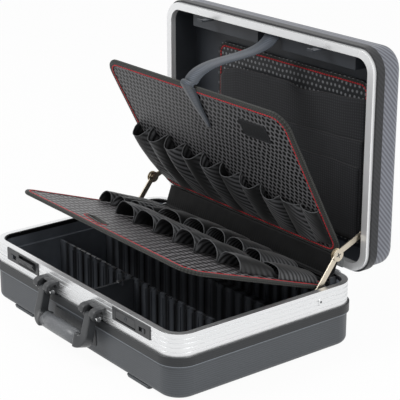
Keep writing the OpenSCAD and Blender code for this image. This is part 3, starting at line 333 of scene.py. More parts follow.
def woven_vinyl(name, ground, dot, turn, axis, edges, raised, size=1.0):
    """Staggered dots on a board that is tilted by turn degrees; rows repeat along the axis."""
    made, tree, shader = material(name, ground, 0.5, {"Specular IOR Level": 0.35})
    where = millimetres(tree, turn)
    waver = add(tree, "TexNoise", {"Vector": where, "Scale": 0.02, "Detail": 1.0}).outputs["Color"]
    shift = add(tree, "VectorMath", {0: waver, 1: (9.0, 9.0, 9.0)}, operation="MULTIPLY")
    moved = add(tree, "VectorMath", {0: where, 1: shift}, operation="ADD")
    height = 0.0
    for across, along in ((1 / COLUMN, 0.5 / ROW), (1 / COLUMN, -0.5 / ROW), (0.0, 1 / ROW)):
        line = (across, along, 0) if axis == "Y" else (across, 0, along)
        beat = add(tree, "VectorMath", {0: moved, 1: [2 * math.pi * v / size for v in line]},
                   operation="DOT_PRODUCT")
        wave = add(tree, "Math", {0: beat}, operation="COSINE")
        height = add(tree, "Math", {0: height, 1: wave}, operation="ADD")
    dots = add(tree, "MapRange", {"Value": height, "From Min": edges[0], "From Max": edges[1]},
               interpolation_type="SMOOTHSTEP")
    final = two_tone(tree, dots, (ground, dot), where, 0.05, 3.0, grey(0.8), grey(1.2))
    bump = add(tree, "Bump", {"Strength": 0.6, "Distance": 0.6 * MM, "Height": dots},
               invert=not raised)
    feed(tree, shader, {"Base Color": final, "Normal": bump})
    return made


# the tool boards' pits take a near-black colour: painted shade in the pits
upper_weave = woven_vinyl(
    "woven vinyl, upper board", "#656567", "#010101", UPPER_SLOPE, "Y", (-0.7, 0.3), False)
lower_weave = woven_vinyl(
    "woven vinyl, lower board", "#787678", "#010101", LOWER_SLOPE, "Y", (-0.5, 0.0), False, 1.5)
lid_weave = woven_vinyl(
    "dotted vinyl, document board", "#26272a", "#808285", 0, "Z", (0.4, 2.2), True)
dress(upper_weave, "upper_board")
dress(lower_weave, "lower_board")
dress(lid_weave, "document_board")

# %% [markdown]
# ## Cloth, tape, thread and soft vinyl
# Sewn parts use their UV map, so that the ribs of a tape or strap follow it round every bend.
# The edge tape is woven polyester, the strap is polypropylene webbing with ribs across it, the
# loops are soft vinyl with a ribbed grain, and the hinge bands are smooth black vinyl. One
# recipe serves them all: ribs across and along, as bump and tone, and a noise for wear.

# %% Ribbed cloth
def ribbed(name, light, dark, roughness, rib, thread, depth, sheen=0.0, wear=0.03, swing=0.4,
           run="Y", gloss=0.3):
    """Cloth or vinyl with ribs across U every rib mm and along it every thread mm, bent by swing."""
    made, tree, shader = material(name, light, roughness, {
        "Specular IOR Level": gloss, "Sheen Weight": sheen, "Sheen Roughness": 0.5})
    where = add(tree, "UVMap", uv_map="UVMap")
    ribs, threads = [add(tree, "TexWave", {
        "Vector": where, "Scale": wave_scale(pitch), "Distortion": swing, "Detail": 1.0,
        "Detail Scale": detail}, bands_direction=way).outputs["Fac"]
        for pitch, detail, way in ((rib, 0.3, "X"), (thread, 0.2, run))]
    both = add(tree, "Math", {0: ribs, 1: threads}, operation="MULTIPLY")
    final = two_tone(tree, both, (dark, light), where, wear, 4.0, grey(0.75), grey(1.25))
    bump = add(tree, "Bump", {"Strength": 0.7, "Distance": depth * MM, "Height": both})
    feed(tree, shader, {"Base Color": final, "Normal": bump})
    return made


tape_cloth = ribbed("woven polyester tape", "#454643", "#1c1d1b", 0.75, 3.4, 3.0, 0.3, 0.12, 0.25)
strap_cloth = ribbed("polypropylene webbing", "#5b626d", "#3b4149", 0.6, 3.0, 5.4, 0.3, 0.2)
loop_vinyl = ribbed(
    "ribbed soft vinyl", "#6e6f72", "#0e0f10", 0.5, 70.0, 5.6, 0.5, 0.1, 0.05, 5.5, "DIAGONAL")
loop_edge = ribbed("cut vinyl edge", "#6f7072", "#4a4b4d", 0.6, 1.4, 1.4, 0.1)
band_vinyl = ribbed(
    "smooth black vinyl", "#0c0d0e", "#050506", 0.5, 5.0, 60.0, 0.5, 0.0, 0.03, 0.8, "Y", 0.15)
pocket_cloth = ribbed("black pocket felt", "#36373b", "#202124", 0.85, 4.3, 3.7, 0.2, 0.2, 0.35, 2.5)
pocket_hem = ribbed("pocket hem", "#4c4b4c", "#303032", 0.7, 1.4, 1.4, 0.1)
patch_vinyl = ribbed("welded vinyl patch", "#303134", "#1e1f21", 0.6, 1.4, 1.4, 0.1)
thread_red = ribbed("red polyester thread", "#e5353f", "#b3242e", 0.55, 1.2, 1.0, 0.15)

# %% [markdown]
# ## Building sewn parts from sections
# Tape, strap, thread, piping and the handle are all one idea: a section carried along a line.
# `skin` joins rows of points into quads and gives them a UV map in millimetres, `join` puts
# several skins together, and `piece` makes an object of them that rides on its body. It also
# merges points that lie on each other, as where a plate's face meets its rim, and turns all
# faces outwards.

# %% Rows of points to a mesh
def skin(rows, wrap=False, loop=False, caps=False):
    """Quads between rows; wrap closes each row, loop joins the last row to the first."""
    n, m = len(rows), len(rows[0])
    along, across = [0.0], [0.0]
    for i in range(n):
        along.append(along[-1] + (rows[(i + 1) % n][0] - rows[i][0]).length)
    for j in range(m):
        across.append(across[-1] + (rows[0][(j + 1) % m] - rows[0][j]).length)
    verts, faces, uvs = [v for row in rows for v in row], [], []
    for i in range(n if loop else n - 1):
        for j in range(m if wrap else m - 1):
            corners = ((i, j), (i, j + 1), (i + 1, j + 1), (i + 1, j))
            faces.append([a % n * m + b % m for a, b in corners])
            uvs.append([(along[a], across[b]) for a, b in corners])
    if caps:
        for face in (list(range(m))[::-1], list(range((n - 1) * m, n * m))):
            faces.append(face)
            uvs.append([(0.0, 0.0)] * m)
    return verts, faces, uvs


def join(shapes):
    """Several skins as one."""
    verts, faces, uvs = [], [], []
    for v, f, u in shapes:
        faces += [[k + len(verts) for k in face] for face in f]
        verts += v
        uvs += u
    return verts, faces, uvs


def piece(name, shape, finish, body, stands_for=(), smooth=True):
    """Makes the object from points in millimetres, and lets it ride on its body."""
    verts, faces, uvs = shape
    mesh = bpy.data.meshes.new(name)
    mesh.from_pydata([v * MM for v in verts], [], faces)
    layer = mesh.uv_layers.new(name="UVMap")
    for k, pair in enumerate(pair for face in uvs for pair in face):
        layer.data[k].uv = pair
    mesh.materials.append(finish)
    shell = bmesh.new()
    shell.from_mesh(mesh)
    bmesh.ops.remove_doubles(shell, verts=shell.verts, dist=0.001 * MM)
    bmesh.ops.recalc_face_normals(shell, faces=shell.faces)
    shell.to_mesh(mesh)
    shell.free()
    if smooth:
        mesh.shade_smooth()
    made = bpy.data.objects.new(name, mesh)
    scene.collection.objects.link(made)
    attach(made, body)
    if stands_for:
        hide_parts(*stands_for)
    print(f"{name}: {len(verts)} points, {len(faces)} faces")
    return made


def modify(part, kind, **settings):
    """Adds a modifier with its settings."""
    made = part.modifiers.new(kind.lower(), kind)
    for name, value in settings.items():
        setattr(made, name, value)


def wander(x, y, z):
    """Smooth noise, about -1 to 1."""
    return noise.noise(Vector((x, y, z)))


def turned(degrees):
    """Cosine and sine of an angle."""
    return math.cos(math.radians(degrees)), math.sin(math.radians(degrees))


def circle(radius, sides):
    """Points (u, v) round a circle."""
    return [(radius * math.cos(t), radius * math.sin(t))
            for t in [2 * math.pi * k / sides for k in range(sides)]]


def heading(points, i):
    """The direction of a line of points at one of them."""
    return (points[min(i + 1, len(points) - 1)] - points[max(i - 1, 0)]).normalized()


def tube(points, radius, sides=8):
    """A round cord through points."""
    rows, up = [], None
    for i, p in enumerate(points):
        way = heading(points, i)
        up = way.orthogonal().normalized() if up is None else (up - up.dot(way) * way).normalized()
        side = way.cross(up)
        rows.append([p + u * side + v * up for u, v in circle(radius, sides)])
    return skin(rows, wrap=True, caps=True)


print("helpers ready")

# %% [markdown]
# ## The two tilted boards as places
# A board is drawn flat in its own space: x across the case, s along the board from its hinge and
# h above its middle plane. `on_board` gives the function that lifts such a point into the case.
# Every sewn part on a board is written in these numbers, so it can't drift off the board.

# %% Board space
def on_board(slope, y0, z0):
    """The function from board numbers (x, s, h) to the case's space, in millimetres."""
    c, d = turned(slope)
    return lambda x, s, h: Vector((x, y0 - s * c + h * d, z0 + s * d + h * c))


ROD_Y, UPPER_ROD_Z, LOWER_ROD_Z = 146.5, 91.0, 80.0
FOLD_Y, FOLD_Z = 159.08, 126.33
UPPER_W, UPPER_L, UPPER_START = 425.6, 260.0, 1.5
LOWER_W, LOWER_L, LOWER_START = 432.0, 286.0, 9.0
BOARD_R = 30.0
upper = on_board(UPPER_SLOPE, FOLD_Y, FOLD_Z)
lower = on_board(LOWER_SLOPE, ROD_Y, LOWER_ROD_Z)
print("upper board's top edge at", [round(v) for v in upper(0, UPPER_L, 0)])


def rounded(a, b, r, n):
    """A rounded rectangle 2a by 2b as (u, v) points, n steps a corner, with outward directions."""
    made = []
    for quarter, (su, sv) in enumerate(((1, 1), (-1, 1), (-1, -1), (1, -1))):
        for k in range(n + 1):
            c, d = turned(90 * quarter + 90 * k / n)
            made.append((su * (a - r) + r * c, sv * (b - r) + r * d, c, d))
    return made


def outline(w, start, end, inset, step, r=BOARD_R):
    """Points (x, s) and outward directions round a board, inset from its edge, a step apart."""
    mid = (start + end) / 2
    line = [(u, mid + v, c, d) for u, v, c, d in
            rounded(w / 2 - inset, (end - start) / 2 - inset, r - inset, 8)]
    full = []
    for p, q in zip(line, line[1:] + line[:1]):
        parts = max(1, round(math.dist(p[:2], q[:2]) / step))
        for k in range(parts):
            full.append([a + (b - a) * (k / parts) for a, b in zip(p, q)])
    return full


# %% [markdown]
# ## Taped edges and red thread
# Each board's edge is bound with tape that is folded over it and sewn down with red thread 7 to
# 8 mm from the edge. The tape is a soft C-shaped section carried round the outline; at the
# corners it gathers in small puckers. Each stitch is a small rounded bead of thread, 4.1 mm long
# with a gap of 0.9 mm, because a painted dashed line would stay flat in a close view.

# %% Edge tape
def tape(name, place, line, section, body, stands_for=(), loose=1.0):
    """Tape folded over a board's edge; section goes from its hem (inset, height) to the edge."""
    section = section + [(a, -b) for a, b in section[-2::-1]]
    rows = []
    for k, (x, s, ox, oy) in enumerate(line):
        pucker = 0.25 * abs(ox * oy) * 2 * math.sin(k * 1.9) * loose
        lift = 0.18 * wander(x * 0.05, s * 0.05, 0.15) * loose + pucker * 0.6
        rows.append([place(x - a * ox, s - a * oy,
                           b * (1 + 0.05 * pucker) + lift * (1 if b > 0 else -1) * (a > 1))
                     for a, b in section])
    piece(name, skin(rows, loop=True), tape_cloth, body, stands_for)


def tool_tape(width):
    """The section of a tool board's tape."""
    return [(width + 0.4, 1.7), (width, 2.35), (width - 1.6, 2.75), (4.0, 2.8), (1.6, 2.632),
            (0.5, 1.848), (0.0, 0.0)]


tape("upper_edge_tape", upper, outline(UPPER_W, UPPER_START, UPPER_L, 0.0, 5.0), tool_tape(10.6),
     "upper_board", ("upper_binding",))
tape("lower_edge_tape", lower, outline(LOWER_W, LOWER_START, LOWER_L, 0.0, 5.0), tool_tape(9.6),
     "lower_board", ("lower_binding",))


# %% Red stitches
def stitch(at, way, up, length=4.1, width=2.4, height=0.95):
    """One bead of thread, sunk into the tape at both ends."""
    side = way.cross(up).normalized()
    rows = []
    for f, r in ((-0.5, 0.25), (-0.42, 0.75), (-0.2, 1.0), (0.2, 1.0), (0.42, 0.75), (0.5, 0.25)):
        rows.append([at + way * (f * length) + side * (width / 2 * r * c) + up * (height * r * d - 0.15)
                     for c, d in [turned(45 * k) for k in range(5)]])
    return skin(rows)


def stitch_line(points, up, pitch=5.0, **sizes):
    """Beads of thread every pitch along a line."""
    beads, left = [], 0.0
    for p, q in zip(points, points[1:]):
        span = (q - p).length
        while left < span:
            beads.append(stitch(p + (q - p) * (left / span), (q - p).normalized(), up, **sizes))
            left += pitch
        left -= span
    return join(beads)


def edge_stitches(name, place, line, heights, body):
    """A closed line of thread at each height over a board."""
    both = []
    for h in heights:
        points = [place(x, s, h) for x, s, _, _ in line]
        up = (place(0, 0, h) - place(0, 0, 0)).normalized()
        both.append(stitch_line(points + points[:1], up))
    piece(name, join(both), thread_red, body)


edge_stitches("upper_edge_stitches", upper, outline(UPPER_W, UPPER_START, UPPER_L, 8.3, 5.0),
              (2.72, -2.72), "upper_board")
edge_stitches("lower_edge_stitches", lower, outline(LOWER_W, LOWER_START, LOWER_L, 7.2, 5.0),
              (2.72, -2.72), "lower_board")

# %% [markdown]
# ## Patch and carrying slot
# A bare patch of stiff vinyl is welded to the upper board. The carrying slot in the lower board
# has a lip of folded tape, because bare fibreboard would fray there, and finer thread along the
# side that is nearer to the board's edge. The patch is a plate: rows from its rim to its face.

# %% Patch and slot
def ring(w, l, r, x0, s0, n=6, turn=0.0):
    """A rounded rectangle as (x, s, outward) points, turned by degrees."""
    c, d = turned(turn)
    return [(x0 + u * c - v * d, s0 + u * d + v * c, a * c - b * d, a * d + b * c)
            for u, v, a, b in rounded(w / 2, l / 2, r, n)]


def plate(name, place, line, profile, finish, body):
    """A flat plate; profile goes from its rim (inset, height) to its face."""
    rows = [[place(x - a * cx, s - a * cy, h) for a, h in profile] for x, s, cx, cy in line]
    face = [row[-1] for row in rows]
    middle = (face, [list(range(len(face)))], [[(0, 0)] * len(face)])
    piece(name, join([skin(rows, loop=True), middle]), finish, body, smooth=False)


plate("bare_patch", lambda x, s, h: upper(x, s, -h), ring(59, 31, 5, 127, 211),
      ((0, 2.05), (0, 2.6), (0.5, 2.9), (2.2, 2.9), (2.8, 2.75), (4.0, 2.75)),
      patch_vinyl, "upper_board")
lip_line = ring(52.0, 12.0, 5.9, -48.0, LOWER_L - 35.0, 9, 12.0)
lip = ((-0.4, 0.0), (-0.4, 2.2), (0.6, 2.9), (3.0, 2.9), (4.0, 2.2))
lips = [skin([[lower(x + a * cx, s + a * cy, face * h) for a, h in lip] for x, s, cx, cy in lip_line],
             loop=True) for face in (1, -1)]
piece("slot_lip", join(lips), tape_cloth, "lower_board")
slot_way = [lower(x + 6.0 * cx, s + 6.0 * cy, 2.3) for x, s, cx, cy in lip_line[:20]]
slot_thread = stitch_line(slot_way, lower(0, 0, 1) - lower(0, 0, 0), width=1.5, height=0.6)
piece("slot_stitches", slot_thread, thread_red, "lower_board")

# %% [markdown]
# ## Tool loops
# The loops are one strip of soft vinyl, sewn down in valleys and left standing in arches between
# them, so tools slide in from the open mouth. New vinyl keeps a round arch; in use it leans,
# gathers towards its sewn foot, and its mouth dips in the middle. Cloth simulation would let the
# stiff arches collapse, so the sheet is lofted: an arch that grows from foot to mouth, with its
# own lean and height per loop, a dip and a little noise, then given thickness and subdivided.

# %% Loop sheets
ARCH, RISE = 14, 10  # steps across a loop, and from its foot to its mouth
# A leaning fold: how far round the loop, across (-1 to 1) and up (0 to 1)
TENT = ((0, -1, 0), (0.15, -1.1, 0.45), (0.3, -1.08, 0.88), (0.38, -0.98, 1), (0.5, -0.6, 0.93),
        (0.65, -0.05, 0.72), (0.8, 0.5, 0.42), (0.92, 0.85, 0.14), (1, 1, 0))


def arch_point(t, tent):
    """A loop's place across and up, for t from 0 to 1; tent blends a round arch to a leaning fold."""
    a = math.pi * t
    arch = (-math.copysign(abs(math.cos(a)) ** 0.75, math.cos(a)), max(0.0, math.sin(a)) ** 0.72)
    k = next(i for i, row in enumerate(TENT[1:]) if t <= row[0] + 1e-9)
    f = (t - TENT[k][0]) / (TENT[k + 1][0] - TENT[k][0])
    fold = [TENT[k][i] + (TENT[k + 1][i] - TENT[k][i]) * f for i in (1, 2)]
    return [p + (q - p) * tent for p, q in zip(arch, fold)]


def loop_sheet(name, place, valleys, feet, mouths, heights, tents, body, stands_for, face=1, seed=0,
               start=0.12, dip=2.5, floor=2.1):
    """Feet and mouths are given at every sewn valley, height and tent for every loop between two."""
    columns = []
    for i, (left, right) in enumerate(zip(valleys, valleys[1:])):
        side, mid = (right - left) / 2 - 1.4, (left + right) / 2
        for j in range(ARCH + 1):
            t = j / ARCH
            across, up = arch_point(t, tents[i])
            foot = feet[i] + (feet[i + 1] - feet[i]) * t
            mouth = mouths[i] + (mouths[i + 1] - mouths[i]) * t - dip * math.sin(math.pi * t) ** 2
            column = []
            for k in range(RISE + 1):
                v = k / RISE
                grow = start + (1 - start) * math.sin(v * math.pi / 2) ** 0.9
                h = floor + 0.4 + (heights[i] - 1) * up * grow
                s = foot + (mouth - foot) * v
                x = mid + side * across
                n = wander(x * 0.055 + seed, s * 0.045, i * 0.7)
                crease = wander(x * 0.03 + seed, s * 0.16, i * 1.3)
                h += (1.4 * n + 0.9 * crease * (1 - 0.4 * v)) * up
                x += 0.8 * n * up
                column.append(place(x, s, face * max(h, floor + 0.3)))
            columns.append(column)
    sheet = piece(name, skin(columns), loop_vinyl, body, stands_for)
    modify(sheet, "SOLIDIFY", thickness=1.1 * MM, offset=0.0)
    modify(sheet, "SUBSURF", levels=1, render_levels=1)
    rims = [tube([c[-1] for c in columns[i:i + ARCH + 1]], 0.75, 6)
            for i in range(0, len(columns), ARCH + 1)]
    piece(name + "_mouths", join(rims), loop_edge, body)


upper_valleys = [-203.0] + [-204.8 + 40.96 * i for i in range(1, 10)] + [203.0]
upper_mouths = [134, 134, 131, 126, 120, 114, 107, 98, 90, 88, 88]
upper_feet = [26] + [12.5] * 9 + [26]
upper_heights = [21, 20.5, 20, 19, 17.5, 15.5, 13.5, 11, 7.5, 6.5]
upper_tents = [1, 1, 0.95, 0.9, 0.85, 0.75, 0.6, 0.4, 0.2, 0.1]
loop_sheet("upper_loops_tall", upper, upper_valleys[:9], upper_feet[:9], upper_mouths[:9],
           upper_heights[:8], upper_tents[:8], "upper_board", ("upper_loops",), -1, 3, 0.12, 12.0)
loop_sheet("upper_loops_flat", upper, upper_valleys[8:], upper_feet[8:], upper_mouths[8:],
           upper_heights[8:], upper_tents[8:], "upper_board", (), -1, 5)
loop_sheet("front_loops", lower, [-110, -57, -6, 44, 94, 145, 193], [104.0] * 7,
           [174, 177, 177, 178, 178, 177, 174], (26, 26, 27, 26, 26, 22), [0.15] * 6,
           "lower_board", ("lower_loops_front",), 1, 8, 0.5, 1.0)
loop_sheet("rear_loops", lower,
           [-204.0, -179, -154.5, -129] + [-206 + 51.5 * i for i in range(2, 8)] + [204.0],
           [32.0] + [24.0] * 9 + [32.0], [140, 132, 122, 111, 102, 88, 83, 85, 93, 104, 110],
           (20, 20, 20, 20, 26, 27, 27, 26, 24, 17), [0.1] * 10,
           "lower_board", ("lower_loops_rear",), 1, 12, 0.7)

# %% [markdown]
# ## Vinyl hinge bands
# The upper board hangs on a broad band of smooth vinyl that turns on its rod at one end and folds
# at the board at the other. Sewing gathers it, so fine vertical wrinkles run down from the seam
# and fade half way. The lower board has a short band of the same stuff. Each is a sheet of points
# with wrinkles from noise that is stretched down the band.

# %% Hinge bands
ROD_W, HEM_R = 403.4, 3.0


def hinge_band(name, z0, lean, length, bead, body, node):
    """A hem round the rod and a wrinkled sheet up to the seam."""
    c, d = turned(lean)
    rows = []
    for i in range(97):
        x = -ROD_W / 2 + ROD_W * i / 96
        line = [(HEM_R * u, HEM_R * v) for u, v in [turned(a) for a in range(40, 321, 40)]]
        sides = []
        for face in (-1, 1):
            side = []
            for f in [k / 10 for k in range(11)]:
                crease = wander(x * 0.11, f * 0.7, 2.0) * 1.1 * f ** 1.3 * (1 - 0.8 * f ** 6)
                sag = 0.5 * math.sin(math.pi * f) * wander(x * 0.02, 1, 9)
                side.append((2.4 + (length - 2.4) * f, face + crease + sag))
            sides.append(side)
        line += sides[0] + [(length + bead, 0.0)] + sides[1][::-1]
        rows.append([Vector((x, ROD_Y + v * c - h * d, z0 + v * d + h * c)) for v, h in line])
    band = piece(name, skin(rows, wrap=True, caps=True), band_vinyl, body, (node,))


hinge_band("upper_hinge_band", UPPER_ROD_Z, 70.4, 36.2, 1.2, "strip", "upper_strip")
hinge_band("lower_hinge_band", LOWER_ROD_Z, 180 - LOWER_SLOPE, 9.0, 0.3, "lower_board", "lower_strip")

# %% [markdown]
# ## Restraint strap
# A flat webbing strap holds the upper board in the lid: it is sewn to the lid's front wall, hangs
# in a loose curve, turns over the board's top edge and lies down its face. Cloth simulation
# erases such a thin strap, so it is carried along the curve with its width held level, and
# narrows to its gathered end.

# %% Strap
def bezier(points, n):
    """Points of a cubic curve."""
    return [sum((math.comb(3, i) * (1 - t) ** (3 - i) * t ** i * p for i, p in enumerate(points)),
                Vector((0, 0, 0))) for t in [k / n for k in range(n + 1)]]


board_edge = upper(0, UPPER_L, 0)
up_way = (upper(0, 1, 0) - upper(0, 0, 0)).normalized()
face_way = (upper(0, 0, -1) - upper(0, 0, 0)).normalized()
down_face = [upper(12.0 - 8.2 * f, UPPER_L - 74 * (1 - f), -3.9 + 0.5 * math.sin(9 * f))
             for f in [k / 14 for k in range(15)]]
over = [Vector((3.8 + 0.4 * k, board_edge.y, board_edge.z)) + 4.3 * (c * face_way + d * up_way)
        for k, (c, d) in enumerate(turned(a) for a in range(20, 141, 30))]
sag = bezier([over[-1] + Vector((0, 0.6, 0.6)), Vector((5.5, 65.6, 399.9)), Vector((9, 173.2, 372)),
              Vector((12, 190, 413.6))], 30)
seat = [Vector((12, 190 + 4 * k, 413.7)) for k in range(1, 5)]
spine = down_face + over + sag + seat
half_w, half_t = 16.0, 0.8
top = [(-half_w + 0.6, half_t), (-7, half_t), (0, half_t * 0.9), (7, half_t), (half_w - 0.6, half_t)]
strap_section = [(-half_w, 0)] + top + [(half_w, 0)] + [(a, -b) for a, b in top[::-1]]
strap_rows = []
for k, p in enumerate(spine):
    way = heading(spine, k)
    across = Vector((1, 0, 0))
    across = (across - across.dot(way) * way).normalized()
    taper = min(1.0, 0.24 + 0.76 * k / (len(down_face) - 2))
    strap_rows.append([p + a * taper * across + b * way.cross(across) for a, b in strap_section])
strap = piece("restraint_strap", skin(strap_rows, wrap=True, caps=True), strap_cloth, "lid",
              ("strap",))
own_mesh(strap)
print("strap's length", round(sum((a - b).length for a, b in zip(spine, spine[1:]))), "mm")

# %% [markdown]
# ## Document board and its pockets
# The lid holds a board with three felt pockets, one before the other, for papers. Its edge is
# taped and sewn as the tool boards are. The pockets' mouths are hemmed and sag a little. Each
# pocket is a sheet of points whose top edge follows a given line, bulged away from the board
# and sewn down at its sides and foot, with a thin cord of piping along the mouth.

# %% Document board's tape and thread
DOC_X, DOC_W, DOC_L, DOC_R, DOC_Y, DOC_Z = 12.0, 345.0, 248.0, 18.0, 226.7, 119.4


def in_lid(x, s, h):
    """A point of the document board: s up from its foot, h towards the room."""
    return Vector((DOC_X + x, DOC_Y - h, DOC_Z + s))


tape("document_tape", in_lid, outline(DOC_W, 0, DOC_L, 0.0, 6.0, DOC_R),
     [(8.4, 1.9), (8, 2.4), (6.4, 2.6), (1.5, 2.5), (0.4, 1.5), (-0.1, 0)], "lid", loose=0)
edge_stitches("document_stitches", in_lid, outline(DOC_W, 0, DOC_L, 6.2, 5.0, DOC_R), (2.7,), "lid")


# %% Pockets
def mouth_height(mouth, x):
    """The mouth line's height at x, eased between its points."""
    for (xa, za), (xb, zb) in zip(mouth, mouth[1:]):
        if x <= xb:
            f = (x - xa) / (xb - xa)
            return za + (zb - za) * f * f * (3 - 2 * f)
    return mouth[-1][1]


def pocket(name, left, right, foot, mouth, base, bulge, seed, stands_for=()):
    """A felt pocket from foot up to its mouth line, which is given as (x, z) points."""
    columns = []
    for x in [left + (right - left) * i / 60 for i in range(61)]:
        top = mouth_height(mouth, x)
        column = []
        for f in [k / 24 for k in range(25)]:
            z = foot + (top - foot) * f
            edge = min(x - left, right - x) / 40
            out = min(1, max(0, edge)) ** 0.5 * (0.35 + 0.65 * f) * min(1, f * 6)
            ripple = wander(x * 0.018, z * 0.02, seed) + 0.4 * wander(x * 0.06, z * 0.03, seed + 4)
            column.append(Vector((x, base - bulge * out - 0.7 * ripple * out, z)))
        columns.append(column)
    sheet = piece(name, skin(columns), pocket_cloth, "lid", stands_for)
    modify(sheet, "SOLIDIFY", thickness=1.0 * MM, offset=0.0)
    piece(name + "_piping", tube([c[-1] for c in columns], 0.9), pocket_hem, "lid")


pocket("pocket_large", -154.0, 180.0, 124.0,
       ((-154, 312), (-140, 325), (-100, 333), (-48, 335), (15, 336), (45, 331), (118, 337),
        (180, 341)), 223.6, 4.6, 1, ("document_pockets",))
pocket("pocket_middle", -140.0, 178.0, 126.0, ((-140, 272), (20, 273), (95, 276), (178, 279)),
       221.4, 3.6, 2)
pocket("pocket_small", -136.0, 174.0, 128.0, ((-136, 237), (70, 238), (120, 240), (174, 238)),
       220.4, 3.8, 3)

# %% [markdown]
# ## Handle
# The handle is injection moulded: a U-shaped bail with rounded arms and a thicker sleeve that the
# hand holds, hanging on chrome pins in two brackets. Each arm is a rounded rectangle, carried down
# and round the corner while it grows to the grip's girth. The sleeve is turned, with soft collars.

# %% Handle plastics
def grained_plastic(name, colour, fleck, roughness, fleck_size, fleck_from):
    """Moulded plastic with a leather grain and flecks."""
    made, tree, shader = material(name, colour, roughness, {"Specular IOR Level": 0.45})
    where = millimetres(tree)
    cells = add(tree, "TexVoronoi", {"Vector": where, "Scale": 1 / fleck_size})
    grain = add(tree, "TexNoise", {"Vector": where, "Scale": 1.4, "Detail": 3.0})
    mark = add(tree, "MapRange", {"Value": cells, "From Min": fleck_from, "From Max": 0.0})
    tint = add(tree, "Mix", {"Factor": mark, "A": hex_colour(colour), "B": hex_colour(fleck)},
               data_type="RGBA")
    feed(tree, shader, {"Base Color": tint, "Normal": relief(tree, 0.8, (grain, 0.3, 0.15))})
    return made


handle_plastic = grained_plastic("moulded nylon, dark grey", "#3a3c3e", "#4a4c4f", 0.27, 1.2, 0.4)
grip_plastic = grained_plastic("speckled grip plastic", "#66686b", "#8c8e92", 0.34, 1.6, 0.45)
latch_plastic = grained_plastic("glass filled nylon, latch grey", "#37383a", "#444547", 0.36, 1.2, 0.4)
dress(latch_plastic, "latch_plate_left", "latch_plate_right", "latch_hasp_left", "latch_hasp_right")

# %% Bail and grip
LEAN_C, LEAN_D = turned(14)
PIVOT_X, PIVOT_Y, PIVOT_Z = 60.0, -175.0, 73.5
GRIP_DROP = -41.0  # the grip's middle under the pivot


def hanging(x, y, z):
    """A point of the handle, drawn upright, in its hanging place."""
    return Vector((x, PIVOT_Y + y * LEAN_C + z * LEAN_D, PIVOT_Z - y * LEAN_D + z * LEAN_C))


arm = []  # each row: x, z, the section's turn, and its half sizes
for z, grow in ((5.2, 0.45), (4.6, 0.75), (3.0, 0.95), (0.0, 1.0), (-10, 1.0), (-20, 1.02),
                (-28, 1.06)):
    arm.append((PIVOT_X, z, 0.0, 7.0 * grow, 6.8 * grow))
for k in range(7):
    c, d = turned(15 * k)
    arm.append((48.0 + 12 * c, -30 - 11 * d, 15.0 * k, 7.4 + 3.2 * k / 6, 7.2 + 4.2 * k / 6))
arm += [(44.0, GRIP_DROP, 90.0, 10.8, 11.6), (42.5, GRIP_DROP, 90.0, 9.4, 9.8)]
arms = []
for sign in (1, -1):
    rows = []
    for x, z, turn, a, b in arm:
        c, d = turned(turn)
        rows.append([hanging(sign * (x + u * c), v, z - u * d)
                     for u, v, _, _ in rounded(a, b, min(a, b) * 0.24, 4)])
    arms.append(skin(rows, wrap=True, caps=True))
bail = piece("handle_moulding", join(arms), handle_plastic, "handle", ("handle_bail",))
modify(bail, "SUBSURF", levels=1, render_levels=1)
sleeve = ((0, 11.7), (20, 11.6), (40, 11.4), (41, 10.2), (42.4, 10.2), (43, 11.2), (45, 11.2),
          (46.5, 10.6), (47, 8))
sleeve = [(-x, r) for x, r in sleeve[:0:-1]] + list(sleeve)
rows = [[hanging(x, u, GRIP_DROP + v) for u, v in circle(r, 28)] for x, r in sleeve]
piece("handle_sleeve", skin(rows, wrap=True, caps=True), grip_plastic, "handle",
      ("handle_grip",))

# %% Brackets
FRONT_WALL, BRACKET_FOOT = -163.0, 66.5


def bracket(name, mid, stands_for=()):
    """A hood over the pin, two thin lugs that hold it, and the back plate, as (y, z) profiles."""
    hood = [(0, 9.5), (0, 21), (-13, 21), (-17, 19.8), (-19.8, 17.2), (-21, 13.5), (-21, 10.5),
            (-18, 10.5), (-17, 15.5), (-5, 17), (-3, 9.5)]
    lug = [(0, 0), (0, 20), (-16, 19), (-18, 14), (-18, 6), (-15.5, 2.5), (-12, 1), (-6, 0)]
    back = [(0, 0.4), (0, 20.8), (-9.5, 20.8), (-10.5, 19.6), (-9.5, 18.6), (-4.5, 18), (-3, 16),
            (-3, 0.4)]
    parts = []
    for profile, ends in ((hood, (-19, -7.6)), (hood, (7.6, 19)), (lug, (-11.5, -7.5)),
                          (lug, (7.5, 11.5)), (back, (-7.7, 7.7))):
        rows = [[Vector((mid + x, FRONT_WALL + y, BRACKET_FOOT + z)) for y, z in profile]
                for x in ends]
        parts.append(skin(rows, wrap=True, caps=True))
    made = piece(name, join(parts), latch_plastic, "base", stands_for)
    modify(made, "BEVEL", width=1.3 * MM, segments=3, limit_method="ANGLE")


bracket("bracket_left", -PIVOT_X, ("handle_brackets",))
bracket("bracket_right", PIVOT_X)

# %% [markdown]
# ## Front panel
# Behind the handle the front wall carries a shallow raised panel, 1 mm proud and left bare. It is
# a plate like the patch, in a darker ABS whose fine ribs are drawn as bands of painted shade.

# %% Front panel
plate("front_panel", lambda x, z, h: Vector((x, FRONT_WALL - h, z)), ring(108, 27, 4, 0, 33),
      ((0, -0.3), (0, 0.7), (0.5, 1.0), (3, 1.0)), panel_plastic, "base")

# %% [markdown]
# ## Feet
# Four feet are moulded under the base: flat pads with rounded corners that widen upwards towards
# the shell's rounded edge, so that they can be drawn from a die.

